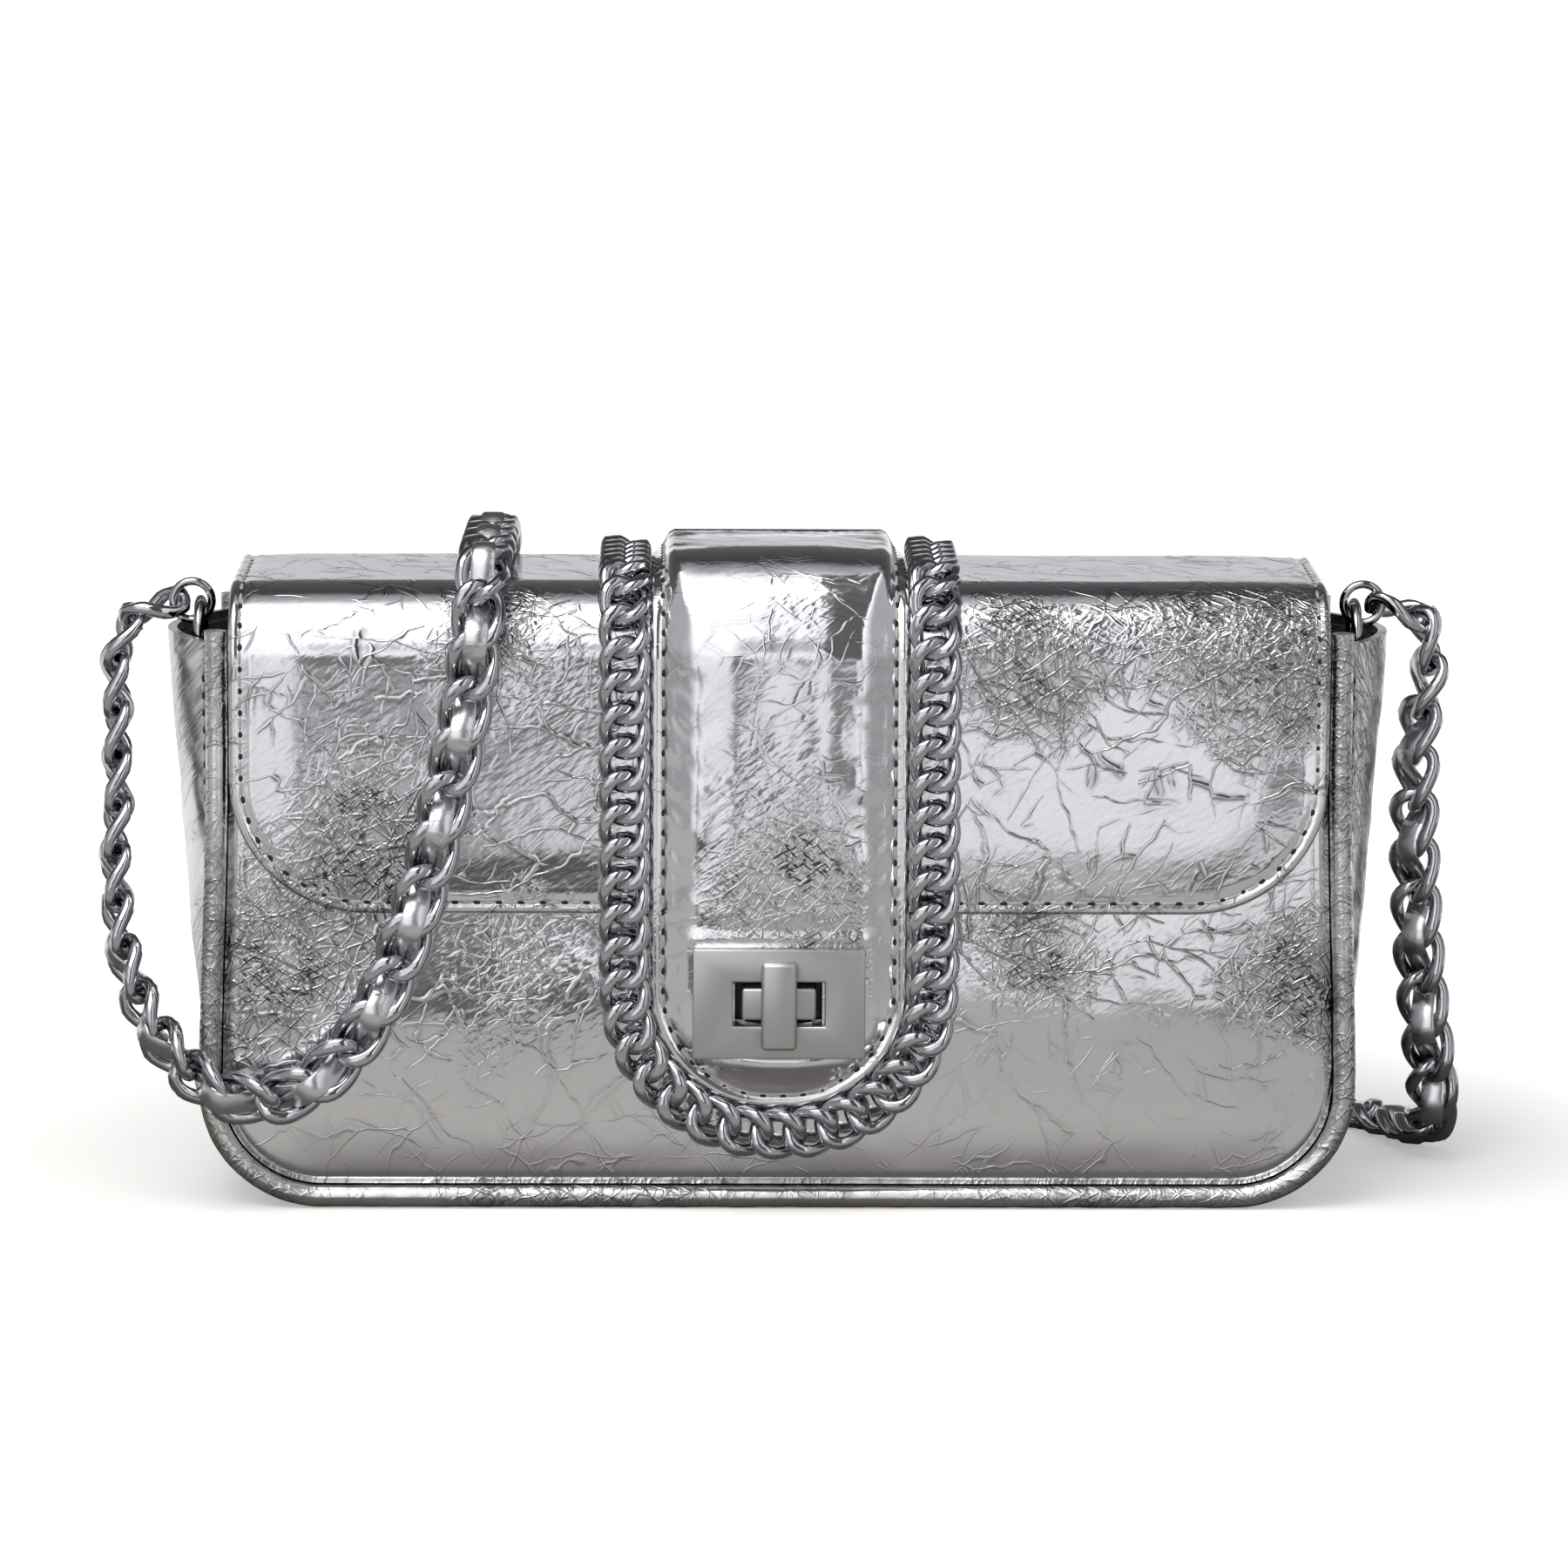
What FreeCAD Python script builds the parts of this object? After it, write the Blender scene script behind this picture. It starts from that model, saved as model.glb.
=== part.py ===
import FreeCAD, Part
import math
import os

# A small flap bag of foil leather with a chain shoulder strap, in millimetres.
# +X runs along the bag, the front faces -Y, +Z is up, and the origin is the middle of the base.

V = FreeCAD.Vector

# Pouch: front and back panels, a strip gusset between them and piping in the seams
bag_width = 245.0
bag_depth = 58.0
panel_top = 125.5
gusset_top = 122.5
corner_radius = 22.0
piping_dia = 5.0
leather = 2.0
seam_gap = 0.2
wall_start = 24.0
wall_middle = 60.0
bow_middle = 7.0
bow_top = 11.0

# Stiffening boards and lining inside the pouch
board = 1.2
board_margin = 8.0
lining = 0.9
lining_below_top = 2.0

# Flap: outer leather and its lining, folded over the mouth
flap_side = 5.25
flap_low = 65.0
flap_corner = 26.0
flap_leather = 1.4
flap_lining = 0.9
layer_gap = 0.1
flap_clear = 0.4
flap_inner_top = 133.4
front_fold = 8.0
back_fold = 5.0
hinge_gap = 0.8

# Padded tab down the middle of the flap
tab_width = 55.5
tab_low = 23.0
tab_end_flat = 1.75
tab_back_y = 15.0
tab_backing = 1.0
tab_pad = 2.0
tab_leather = 1.4
tab_seam = 6.0

# Chain sewn round the edge of the tab
trim_wire = 1.8
trim_half_length = 4.75
trim_half_width = 4.6
trim_tilt = 29.0
trim_pitch = 7.2
trim_gap = 0.4
trim_lift = 0.8

# Turn lock: plate on the tab, base on the front panel, knob between them
lock_z = 47.0
plate_width = 36.8
plate_height = 23.8
plate_thick = 3.0
plate_edge = 0.6
slot_width = 19.6
slot_height = 9.6
backing_thick = 0.7
base_width = 34.0
base_height = 18.0
base_thick = 1.4
boss_width = 17.0
boss_height = 7.8
boss_corner = 2.0
boss_below_plate = 0.4
knob_width = 7.6
knob_height = 19.0
knob_thick = 3.0
knob_edge = 0.9
knob_gap = 0.3
shaft_dia = 4.0
shaft_clear = 0.05
hole_clear = 0.3
prong_width = 3.0
prong_thick = 0.8
prong_clear = 0.15
plate_prong_side = 3.4
plate_prong_end = 2.9
base_prong_side = 4.0
washer_side = 1.0
washer_end = 2.0
washer_thick = 0.5
spring_dia = 9.0
spring_thick = 0.4
clip_dia = 7.0
clip_thick = 0.5
lock_gap = 0.05
window_margin = 3.0

# Strap ends: a leather chape on each side wall, its D-ring and a joining ring
chape_width = 11.0
chape_low = 94.0
chape_leather = 1.2
chape_clear = 0.3
ring_wire = 2.4
ring_clear = 0.2
ring_half_width = 7.6
ring_height = 12.5
ring_corner = 2.0
ring_above_gusset = 5.4
joining_wire = 1.8
joining_radius = 4.2
joining_clear = 0.3

# Strap: chain of tilted links with a leather lace through it
link_wire = 2.1
link_half_length = 6.6
link_half_width = 5.2
link_tilt = 32.0
link_pitch = 10.4
lace_dia = 3.4

# Work out the places that several pieces share
pipe_radius = piping_dia / 2
pipe_x = bag_width / 2 - pipe_radius
pipe_y = bag_depth / 2 - leather / 2
front_y = -bag_depth / 2
panel_inner_y = bag_depth / 2 - leather
panel_half = pipe_x - pipe_radius - seam_gap
panel_low = piping_dia + seam_gap
panel_corner = corner_radius - panel_low
gusset_x = pipe_x + leather / 2
gusset_y = pipe_y - pipe_radius - seam_gap
gusset_corner = corner_radius - pipe_radius + leather / 2
board_y = panel_inner_y - layer_gap
lining_x = gusset_x - leather - 2 * seam_gap
lining_low = leather + board + 2 * layer_gap
lining_corner = gusset_corner - leather - seam_gap
lining_top = gusset_top - lining_below_top

flap_width = bag_width - 2 * flap_side
flap_thick = flap_lining + layer_gap + flap_leather
hinge_y = pipe_y
back_top = panel_top
hinge_z = back_top + hinge_gap + flap_thick / 2
flap_front_y = front_y - flap_clear
flap_back_y = hinge_y - flap_thick / 2
front_fold_centre = V(0, flap_front_y + front_fold, flap_inner_top - front_fold)
back_fold_centre = V(0, flap_back_y - back_fold, flap_inner_top - back_fold)

tab_corner = tab_width / 2 - tab_end_flat
tab_start = flap_thick + layer_gap
tab_pad_start = tab_start + tab_backing + layer_gap
tab_outer = tab_pad_start + tab_pad + 2 * layer_gap + tab_leather
trim_height = trim_half_width * math.sin(math.radians(trim_tilt)) + trim_wire / 2
trim_reach = trim_half_width * math.cos(math.radians(trim_tilt)) + trim_wire / 2
trim_out = flap_thick + trim_lift + trim_height
trim_x = tab_width / 2 + trim_gap + trim_reach
trim_corner = tab_corner + trim_gap + trim_reach
trim_low = tab_low - trim_gap - trim_reach

plate_prong_x = plate_width / 2 - plate_prong_side
plate_prong_z = plate_height / 2 - plate_prong_end
base_prong_x = base_width / 2 - base_prong_side
washer_width = base_width - 2 * washer_side
washer_height = base_height - 2 * washer_end
tab_face_y = flap_front_y - tab_outer
plate_back_y = tab_face_y - layer_gap
plate_front_y = plate_back_y - plate_thick
base_back_y = front_y - lock_gap
base_front_y = base_back_y - base_thick
boss_front_y = plate_front_y + boss_below_plate
knob_back_y = min(boss_front_y, plate_front_y) - knob_gap
knob_front_y = knob_back_y - knob_thick
backing_front_y = flap_front_y - tab_start + lock_gap
washer_front_y = -panel_inner_y + lock_gap
spring_front_y = washer_front_y + washer_thick + lock_gap
clip_front_y = spring_front_y + spring_thick + lock_gap
clip_back_y = clip_front_y + clip_thick
lining_y = min(board_y - board, -clip_back_y) - 2 * layer_gap


def outline(half, low, top, radius):
    """Edges in XZ of a shape with a straight top, the last edge, and two rounded lower corners."""
    turn = radius * math.sqrt(0.5)
    left = V(-half + radius, 0, low + radius)
    right = V(half - radius, 0, low + radius)
    return [
        Part.makeLine(V(-half, 0, top), V(-half, 0, left.z)),
        Part.Arc(V(-half, 0, left.z), left + V(-turn, 0, -turn), V(left.x, 0, low)).toShape(),
        Part.makeLine(V(left.x, 0, low), V(right.x, 0, low)),
        Part.Arc(V(right.x, 0, low), right + V(turn, 0, -turn), V(half, 0, right.z)).toShape(),
        Part.makeLine(V(half, 0, right.z), V(half, 0, top)),
        Part.makeLine(V(half, 0, top), V(-half, 0, top)),
    ]


def slab(half, low, top, radius, y_from, y_to):
    """Upright plate with rounded lower corners between two planes across Y."""
    face = Part.Face(Part.Wire(outline(half, low, top, radius)))
    face.translate(V(0, y_from, 0))
    return face.extrude(V(0, y_to - y_from, 0))


def block(x_from, x_to, y_from, y_to, z_from, z_to):
    """Box given by its two corners."""
    size = V(x_to - x_from, y_to - y_from, z_to - z_from)
    return Part.makeBox(size.x, size.y, size.z, V(x_from, y_from, z_from))


def lock_block(width, height, y_from, y_to, x_middle=0.0, z_middle=0.0):
    """Box centred on the lock's axis, or off it by x_middle and z_middle."""
    z = lock_z + z_middle
    return block(x_middle - width / 2, x_middle + width / 2, y_from, y_to, z - height / 2, z + height / 2)


def lock_disc(dia, y_from, y_to):
    """Round bar along the lock's axis."""
    return Part.makeCylinder(dia / 2, y_to - y_from, V(0, y_from, lock_z), V(0, 1, 0))


def tube(edges, dia):
    """Round bar that follows joined edges."""
    path = Part.Wire(edges)
    start = path.OrderedEdges[0]
    at = start.valueAt(start.FirstParameter)
    along = start.tangentAt(start.FirstParameter)
    ring = Part.Wire(Part.makeCircle(dia / 2, at, along))
    return path.makePipeShell([ring], True, False)


def bow_at(z):
    """How far the side wall stands out at a height."""
    if z < wall_middle:
        return bow_middle * (z - wall_start) / (wall_middle - wall_start)
    return bow_middle + (bow_top - bow_middle) * (z - wall_middle) / (gusset_top - wall_middle)


def wall_section(half_x, half_y, thick, z):
    """Curved strip in plan: the cut through the side wall at a height."""
    bow = bow_at(z)
    outer = [V(half_x, -half_y, z), V(half_x + bow, 0, z), V(half_x, half_y, z)]
    inner = [p - V(thick, 0, 0) for p in outer]
    sides = []
    for points in (outer, inner):
        if bow > 0:
            sides.append(Part.Arc(*points).toShape())
        else:
            sides.append(Part.makeLine(points[0], points[2]))
    ends = [Part.makeLine(outer[2], inner[2]), Part.makeLine(inner[0], outer[0])]
    return Part.Wire([sides[0], ends[0], sides[1], ends[1]])


def pouch_strip(half_x, half_y, low, corner, thick, top):
    """Strip that runs down one side, under the base and up the other side."""
    outer = slab(half_x, low, wall_start, corner, -half_y, half_y)
    inner = slab(half_x - thick, low + thick, wall_start, corner - thick, -half_y, half_y)
    levels = [wall_start, wall_middle, top]
    right = Part.makeLoft([wall_section(half_x, half_y, thick, z) for z in levels], True, True)
    left = right.mirror(V(0, 0, 0), V(1, 0, 0))
    return outer.cut(inner).fuse([right, left]).removeSplitter()


def piping(y):
    """Cord in leather that follows a panel's edge."""
    edges = outline(pipe_x, pipe_radius, panel_top, corner_radius - pipe_radius)[:-1]
    bar = tube(edges, piping_dia)
    bar.translate(V(0, y, 0))
    return bar


def lining_bag():
    """Thin bag inside the pouch, open at the top."""
    strip = pouch_strip(lining_x, lining_y, lining_low, lining_corner, lining, lining_top)
    front = slab(lining_x, lining_low, lining_top, lining_corner, -lining_y, -lining_y + lining)
    back = slab(lining_x, lining_low, lining_top, lining_corner, lining_y - lining, lining_y)
    return strip.fuse([front, back]).removeSplitter()


def stiffener(y_from, y_to):
    """Board behind a panel."""
    half = panel_half - board_margin
    low = panel_low + board_margin
    return slab(half, low, panel_top - board_margin, panel_corner, y_from, y_to)


def base_board():
    """Board in the bottom of the pouch."""
    half_x = gusset_x - gusset_corner
    half_y = gusset_y - 2 * seam_gap
    low = leather + layer_gap
    return block(-half_x, half_x, -half_y, half_y, low, low + board)


def fold_points(out, centre, radius, first, middle, last):
    """Three points of a fold's arc at a distance outside the flap's inner face."""
    reach = radius + out
    return [centre + V(0, reach * math.cos(a), reach * math.sin(a)) for a in (first, middle, last)]


def flap_profile(out, low, back_y=None):
    """Edges in YZ from the back of the flap to its lower edge, out from its inner face."""
    front = fold_points(out, front_fold_centre, front_fold, math.pi / 2, math.pi * 0.75, math.pi)
    edges = []
    if back_y is None:
        back = fold_points(out, back_fold_centre, back_fold, 0, math.pi / 4, math.pi / 2)
        edges.append(Part.makeLine(V(0, flap_back_y + out, hinge_z), back[0]))
        edges.append(Part.Arc(*back).toShape())
        top_start = back[2]
    else:
        top_start = V(0, back_y, flap_inner_top + out)
    edges.append(Part.makeLine(top_start, front[0]))
    edges.append(Part.Arc(*front).toShape())
    edges.append(Part.makeLine(front[2], V(0, flap_front_y - out, low)))
    return edges


def layer(inner, outer, half, low, corner, back_y=None):
    """Folded sheet between two distances from the flap's inner face, cut to its outline."""
    near = flap_profile(inner, low, back_y)
    far = flap_profile(outer, low, back_y)
    ends = [
        Part.makeLine(near[0].Vertexes[0].Point, far[0].Vertexes[0].Point),
        Part.makeLine(near[-1].Vertexes[-1].Point, far[-1].Vertexes[-1].Point),
    ]
    face = Part.Face(Part.Wire(Part.__sortEdges__(near + far + ends)))
    face.translate(V(-half, 0, 0))
    sheet = face.extrude(V(2 * half, 0, 0))
    return sheet.common(slab(half, low, 2 * flap_inner_top, corner, -bag_depth, bag_depth))


def flap_outer():
    """Outer leather of the flap with its round fold on the hinge line."""
    half = flap_width / 2
    sheet = layer(flap_lining + layer_gap, flap_thick, half, flap_low, flap_corner)
    bead = Part.makeCylinder(flap_thick / 2, flap_width, V(-half, hinge_y, hinge_z), V(1, 0, 0))
    return sheet.fuse(bead).removeSplitter()


def flap_inside():
    """Lining of the flap, stopped short of the hinge line."""
    sheet = layer(0, flap_lining, flap_width / 2, flap_low, flap_corner)
    reach = flap_thick / 2 + layer_gap
    return sheet.cut(Part.makeCylinder(reach, 2 * flap_width, V(-flap_width, hinge_y, hinge_z), V(1, 0, 0)))


def lock_slot(y_from, y_to):
    """Opening that the lock's boss and knob pass through."""
    return lock_block(slot_width, slot_height, y_from, y_to)


def plate_prongs(clear):
    """Four prongs of the lock plate, or the holes for them."""
    y_to = backing_front_y + backing_thick
    prongs = []
    for side in (-1, 1):
        for level in (-1, 1):
            width = prong_width + 2 * clear
            height = prong_thick + 2 * clear
            x = side * plate_prong_x
            prongs.append(lock_block(width, height, plate_back_y, y_to, x, level * plate_prong_z))
    return prongs


def base_prongs(clear):
    """Two prongs of the lock base, or the holes for them."""
    y_to = washer_front_y + washer_thick
    width = prong_thick + 2 * clear
    height = prong_width + 2 * clear
    return [lock_block(width, height, base_back_y, y_to, side * base_prong_x) for side in (-1, 1)]


def tab_layer(inner, outer, inset=0.0):
    """Sheet of the tab, smaller all round by an inset."""
    half = tab_width / 2 - inset
    sheet = layer(inner, outer, half, tab_low + inset, tab_corner - inset, tab_back_y - inset)
    return sheet.cut([lock_slot(2 * front_y, 0)] + plate_prongs(prong_clear))


def tab_cover():
    """Leather of the tab, hollow over its pad."""
    pocket_top = tab_pad_start + tab_pad + 2 * layer_gap
    cover = layer(tab_pad_start, tab_outer, tab_width / 2, tab_low, tab_corner, tab_back_y)
    half = tab_width / 2 - tab_seam + layer_gap
    low = tab_low + tab_seam - layer_gap
    back_y = tab_back_y - tab_seam + layer_gap
    pocket = layer(tab_pad_start, pocket_top, half, low, tab_corner - tab_seam, back_y)
    return cover.cut([pocket, lock_slot(2 * front_y, 0)] + plate_prongs(prong_clear))


def stadium_link(half_length, half_width, wire, tilt):
    """Chain link along X, turned about X."""
    end = half_length - half_width
    edges = [
        Part.makeLine(V(-end, half_width, 0), V(end, half_width, 0)),
        Part.Arc(V(end, half_width, 0), V(half_length, 0, 0), V(end, -half_width, 0)).toShape(),
        Part.makeLine(V(end, -half_width, 0), V(-end, -half_width, 0)),
        Part.Arc(V(-end, -half_width, 0), V(-half_length, 0, 0), V(-end, half_width, 0)).toShape(),
    ]
    link = tube(edges, wire)
    link.rotate(V(0, 0, 0), V(1, 0, 0), tilt)
    return link


def along_path(points):
    """Distance of each point from the first."""
    lengths = [0.0]
    for a, b in zip(points, points[1:]):
        lengths.append(lengths[-1] + (b - a).Length)
    return lengths


def value_at(values, lengths, distance):
    """Value between the two samples at a distance."""
    distance = min(max(distance, 0.0), lengths[-1])
    for i in range(1, len(lengths)):
        if lengths[i] >= distance:
            share = (distance - lengths[i - 1]) / (lengths[i] - lengths[i - 1])
            return values[i - 1] + (values[i] - values[i - 1]) * share
    return values[-1]


def place_links(points, faces, pitch, pair):
    """Copies of two links in turn along a path, lying across its face directions."""
    lengths = along_path(points)
    count = round(lengths[-1] / pitch)
    step = lengths[-1] / count
    placed = []
    for i in range(count):
        start = value_at(points, lengths, i * step)
        end = value_at(points, lengths, (i + 1) * step)
        face = value_at(faces, lengths, (i + 0.5) * step)
        along = (end - start).normalize()
        turn = FreeCAD.Rotation(along, V(0, 0, 0), face, "XZY")
        link = pair[i % 2].copy()
        link.Placement = FreeCAD.Placement((start + end) * 0.5, turn).multiply(link.Placement)
        placed.append((i * step + step / 2, link))
    return placed


def trim_chain():
    """Chain that lies on the flap along the tab's edge."""
    spread = trim_corner * math.sqrt(0.5)
    y = flap_front_y - trim_out
    left = V(-trim_x + trim_corner, y, trim_low + trim_corner)
    right = V(trim_x - trim_corner, y, trim_low + trim_corner)
    side = flap_profile(trim_out, left.z, tab_back_y)
    points = []
    for edge in side:
        points += edge.discretize(trim_samples)
    down = [V(-trim_x, p.y, p.z) for p in points]
    round_left = Part.Arc(down[-1], left + V(-spread, 0, -spread), V(left.x, y, trim_low)).toShape()
    rise = V(trim_x, y, right.z)
    round_right = Part.Arc(V(right.x, y, trim_low), right + V(spread, 0, -spread), rise).toShape()
    up = [V(trim_x, p.y, p.z) for p in reversed(points)]
    path = down + round_left.discretize(trim_samples) + round_right.discretize(trim_samples) + up
    path = [p for i, p in enumerate(path) if i == 0 or (p - path[i - 1]).Length > layer_gap]
    faces = [flap_face(p) for p in path]
    pair = [stadium_link(trim_half_length, trim_half_width, trim_wire, s * trim_tilt) for s in (1, -1)]
    return Part.makeCompound([link for _, link in place_links(path, faces, trim_pitch, pair)])


def flap_face(point):
    """Outward direction of the flap beside a point."""
    if point.z <= front_fold_centre.z:
        return V(0, -1, 0)
    if point.y >= front_fold_centre.y:
        return V(0, 0, 1)
    return V(0, point.y - front_fold_centre.y, point.z - front_fold_centre.z).normalize()


def lock_plate():
    """Frame on the tab with the slot for the boss and four prongs behind it."""
    plate = lock_block(plate_width, plate_height, plate_front_y, plate_back_y)
    front = [e for e in plate.Edges if e.CenterOfMass.y < plate_front_y + lock_gap]
    plate = plate.makeChamfer(plate_edge, front)
    plate = plate.cut(lock_slot(2 * plate_front_y, 0))
    return plate.fuse(plate_prongs(0)).removeSplitter()


def lock_backing():
    """Thin plate behind the tab that the prongs are bent over."""
    back_y = backing_front_y + backing_thick
    plate = lock_block(plate_width, plate_height, backing_front_y, back_y)
    return plate.cut([lock_slot(2 * backing_front_y, 0)] + plate_prongs(prong_clear))


def lock_base():
    """Plate on the front panel with a raised boss, a bore for the knob and two prongs."""
    plate = lock_block(base_width, base_height, base_front_y, base_back_y)
    boss = lock_block(boss_width, boss_height, boss_front_y, base_back_y)
    upright = [e for e in boss.Edges if abs(e.tangentAt(e.FirstParameter).y) > 0.9]
    boss = boss.makeFillet(min(boss_corner, boss_height / 2.1), upright)
    bore = lock_disc(shaft_dia + 2 * shaft_clear, 2 * boss_front_y, 0)
    return plate.fuse([boss] + base_prongs(0)).removeSplitter().cut(bore)


def turn_knob():
    """Bar that turns across the slot, with its shaft."""
    bar = lock_block(knob_width, knob_height, knob_front_y, knob_back_y)
    front = [e for e in bar.Edges if e.CenterOfMass.y < knob_front_y + lock_gap]
    bar = bar.makeChamfer(knob_edge, front)
    shaft = lock_disc(shaft_dia, knob_back_y - knob_thick / 2, clip_back_y)
    return bar.fuse(shaft).removeSplitter()


def front_panel():
    """Front of the pouch, pierced for the lock."""
    panel = slab(panel_half, panel_low, panel_top, panel_corner, front_y, -panel_inner_y)
    shaft_hole = lock_disc(shaft_dia + 2 * hole_clear, 2 * front_y, 0)
    return panel.cut([shaft_hole] + base_prongs(prong_clear))


def front_board():
    """Board behind the front panel with a window round the lock's washer."""
    width = washer_width + 2 * window_margin
    height = washer_height + 2 * window_margin
    return stiffener(-board_y, -board_y + board).cut(lock_block(width, height, -bag_depth, 0))


def lock_washer():
    """Plate behind the front panel that the base's prongs are bent over."""
    plate = lock_block(washer_width, washer_height, washer_front_y, washer_front_y + washer_thick)
    shaft_hole = lock_disc(shaft_dia + 2 * hole_clear, -bag_depth, 0)
    return plate.cut([shaft_hole] + base_prongs(prong_clear))


def detent_spring():
    """Spring washer that holds the knob where it is turned to."""
    disc = lock_disc(spring_dia, spring_front_y, spring_front_y + spring_thick)
    return disc.cut(lock_disc(shaft_dia + 2 * hole_clear, -bag_depth, 0))


def knob_clip():
    """Ring that keeps the knob's shaft in."""
    disc = lock_disc(clip_dia, clip_front_y, clip_back_y)
    return disc.cut(lock_disc(shaft_dia + lock_gap, -bag_depth, 0))


def wall_inside(y, z):
    """Inner face of the lining's side wall on the right."""
    bow = bow_at(z)
    radius = (lining_y ** 2 + bow ** 2) / (2 * bow)
    return lining_x - lining + bow - radius + math.sqrt(radius ** 2 - y ** 2)


chape_loop = ring_wire / 2 + ring_clear + chape_leather
ring_bow_z = gusset_top + ring_above_gusset
ring_bar_z = ring_bow_z - ring_height
ring_bar_x = wall_inside(chape_width / 2, ring_bar_z) - chape_clear - chape_loop
ring_hole = joining_radius - joining_wire / 2
joining_x = ring_bar_x + ring_hole - ring_wire / 2 - joining_clear
strap_end_x = joining_x + ring_hole - link_wire / 2 - joining_clear + link_half_length - link_pitch / 2


def chape():
    """Leather strip sewn to the right side wall and folded round the D-ring's bar."""
    half = chape_width / 2
    low_x = wall_inside(half, chape_low) - chape_clear
    high_x = ring_bar_x + chape_loop
    fold = V(2 * chape_leather, 0, 0)
    corners = [V(low_x, -half, chape_low), V(high_x, -half, ring_bar_z)]
    corners += [corners[1] - fold, corners[0] - fold, corners[0]]
    legs = Part.Face(Part.makePolygon(corners)).extrude(V(0, chape_width, 0))
    start = V(ring_bar_x, -half, ring_bar_z)
    loop = Part.makeCylinder(chape_loop, chape_width, start, V(0, 1, 0))
    hole = Part.makeCylinder(chape_loop - chape_leather, chape_width, start, V(0, 1, 0))
    return legs.fuse(loop).cut(hole).removeSplitter()


def d_ring():
    """Ring with a straight bar below and a round bow above."""
    turn = ring_corner * (1 - math.sqrt(0.5))
    half = ring_half_width
    low = ring_bar_z
    side = low + ring_height - half
    at = [V(ring_bar_x, y, z) for y, z in (
        (-half + ring_corner, low), (half - ring_corner, low), (half - turn, low + turn),
        (half, low + ring_corner), (half, side), (0, low + ring_height),
        (-half, side), (-half, low + ring_corner), (-half + turn, low + turn))]
    edges = [
        Part.makeLine(at[0], at[1]),
        Part.Arc(at[1], at[2], at[3]).toShape(),
        Part.makeLine(at[3], at[4]),
        Part.Arc(at[4], at[5], at[6]).toShape(),
        Part.makeLine(at[6], at[7]),
        Part.Arc(at[7], at[8], at[0]).toShape(),
    ]
    return tube(edges, ring_wire)


def joining_ring():
    """Round ring between the D-ring's bow and the strap's last link."""
    centre = V(joining_x, 0, ring_bow_z)
    return Part.makeTorus(joining_radius, joining_wire / 2, centre, V(0, 1, 0))


# Strap's route: each row is a point and the way that the chain's broad face looks there.
# The points suit a bag of the route's own half width, front and top, and go with the bag's.
route_half_width = 122.5
route_front = 31.8
route_top = 135.8
left_run = [
    ((-130.1, 0, 127.9), (0, 0, 1)),
    ((-138.5, -0.5, 127), (-0.4, 0, 0.9)),
    ((-143.3, -2, 119.5), (-0.9, 0, 0.4)),
    ((-142.8, -4, 104), (-1, 0, 0)),
    ((-142.5, -8, 86), (-1, -0.1, 0)),
    ((-143.2, -14, 68), (-1, -0.2, 0)),
    ((-141, -20, 52), (-1, -0.4, -0.2)),
    ((-134, -28, 38), (-0.8, -0.7, -0.3)),
    ((-124, -35, 28), (-0.5, -0.9, -0.3)),
]
front_run = [
    ((-112, -38.5, 24), (-0.3, -1, -0.2)),
    ((-99, -38.5, 28), (-0.1, -1, -0.1)),
    ((-89, -38, 39), (0, -1, 0)),
    ((-81.5, -37.5, 54), (0, -1, 0)),
    ((-75.5, -37, 72), (0, -1, 0)),
    ((-70.5, -37, 92), (0, -1, 0)),
    ((-66, -37.2, 112), (0, -1, 0)),
    ((-64, -37.8, 128.5), (0, -1, 0.2)),
    ((-63, -31.5, 141), (0, -0.6, 0.8)),
    ((-62.5, -13, 141.8), (0, 0, 1)),
    ((-62, 10, 142), (0, 0, 1)),
    ((-62, 29, 141), (0, 0.5, 0.9)),
    ((-62, 38, 129), (0, 0.9, 0.3)),
]
back_run = [
    ((-62, 36.5, 106), (0, 1, 0)),
    ((-62.5, 36, 80), (0, 1, 0)),
    ((-65, 37, 50), (0, 1, 0.1)),
    ((-71, 42, 22), (-0.3, 0.9, 0.4)),
    ((-83, 51, 6), (-0.2, 0.4, 0.9)),
    ((-103, 65, 4.4), (0, 0, 1)),
    ((-108, 88, 4.6), (0, 0, 1)),
    ((-96, 108, 4.4), (0, 0, 1)),
    ((-73, 115, 4.6), (0, 0, 1)),
    ((-42, 109, 4.4), (0, 0, 1)),
    ((-8, 96, 4.6), (0, 0, 1)),
    ((28, 86, 4.4), (0, 0, 1)),
    ((66, 81, 4.6), (0, 0, 1)),
    ((100, 77, 4.4), (0, 0, 1)),
    ((125, 66, 4.6), (0, 0, 1)),
    ((139, 47, 4.4), (0, 0.1, 1)),
    ((146, 24, 5.5), (0.1, 0.4, 0.9)),
    ((146, 12, 15), (0.2, 0.9, 0.3)),
    ((143.5, 9, 30), (0.3, 1, 0)),
    ((141, 7, 50), (0.4, 0.9, 0)),
    ((139.5, 5, 72), (0.6, 0.8, 0)),
    ((139, 3, 94), (0.8, 0.5, 0)),
    ((140.8, 1, 112), (1, 0.2, 0.1)),
    ((143.2, 0, 120), (0.9, 0, 0.4)),
    ((138.5, 0, 127), (0.4, 0, 0.9)),
    ((130.1, 0, 127.9), (0, 0, 1)),
]
bend_share = 0.45
path_samples = 12
trim_samples = 40


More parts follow.
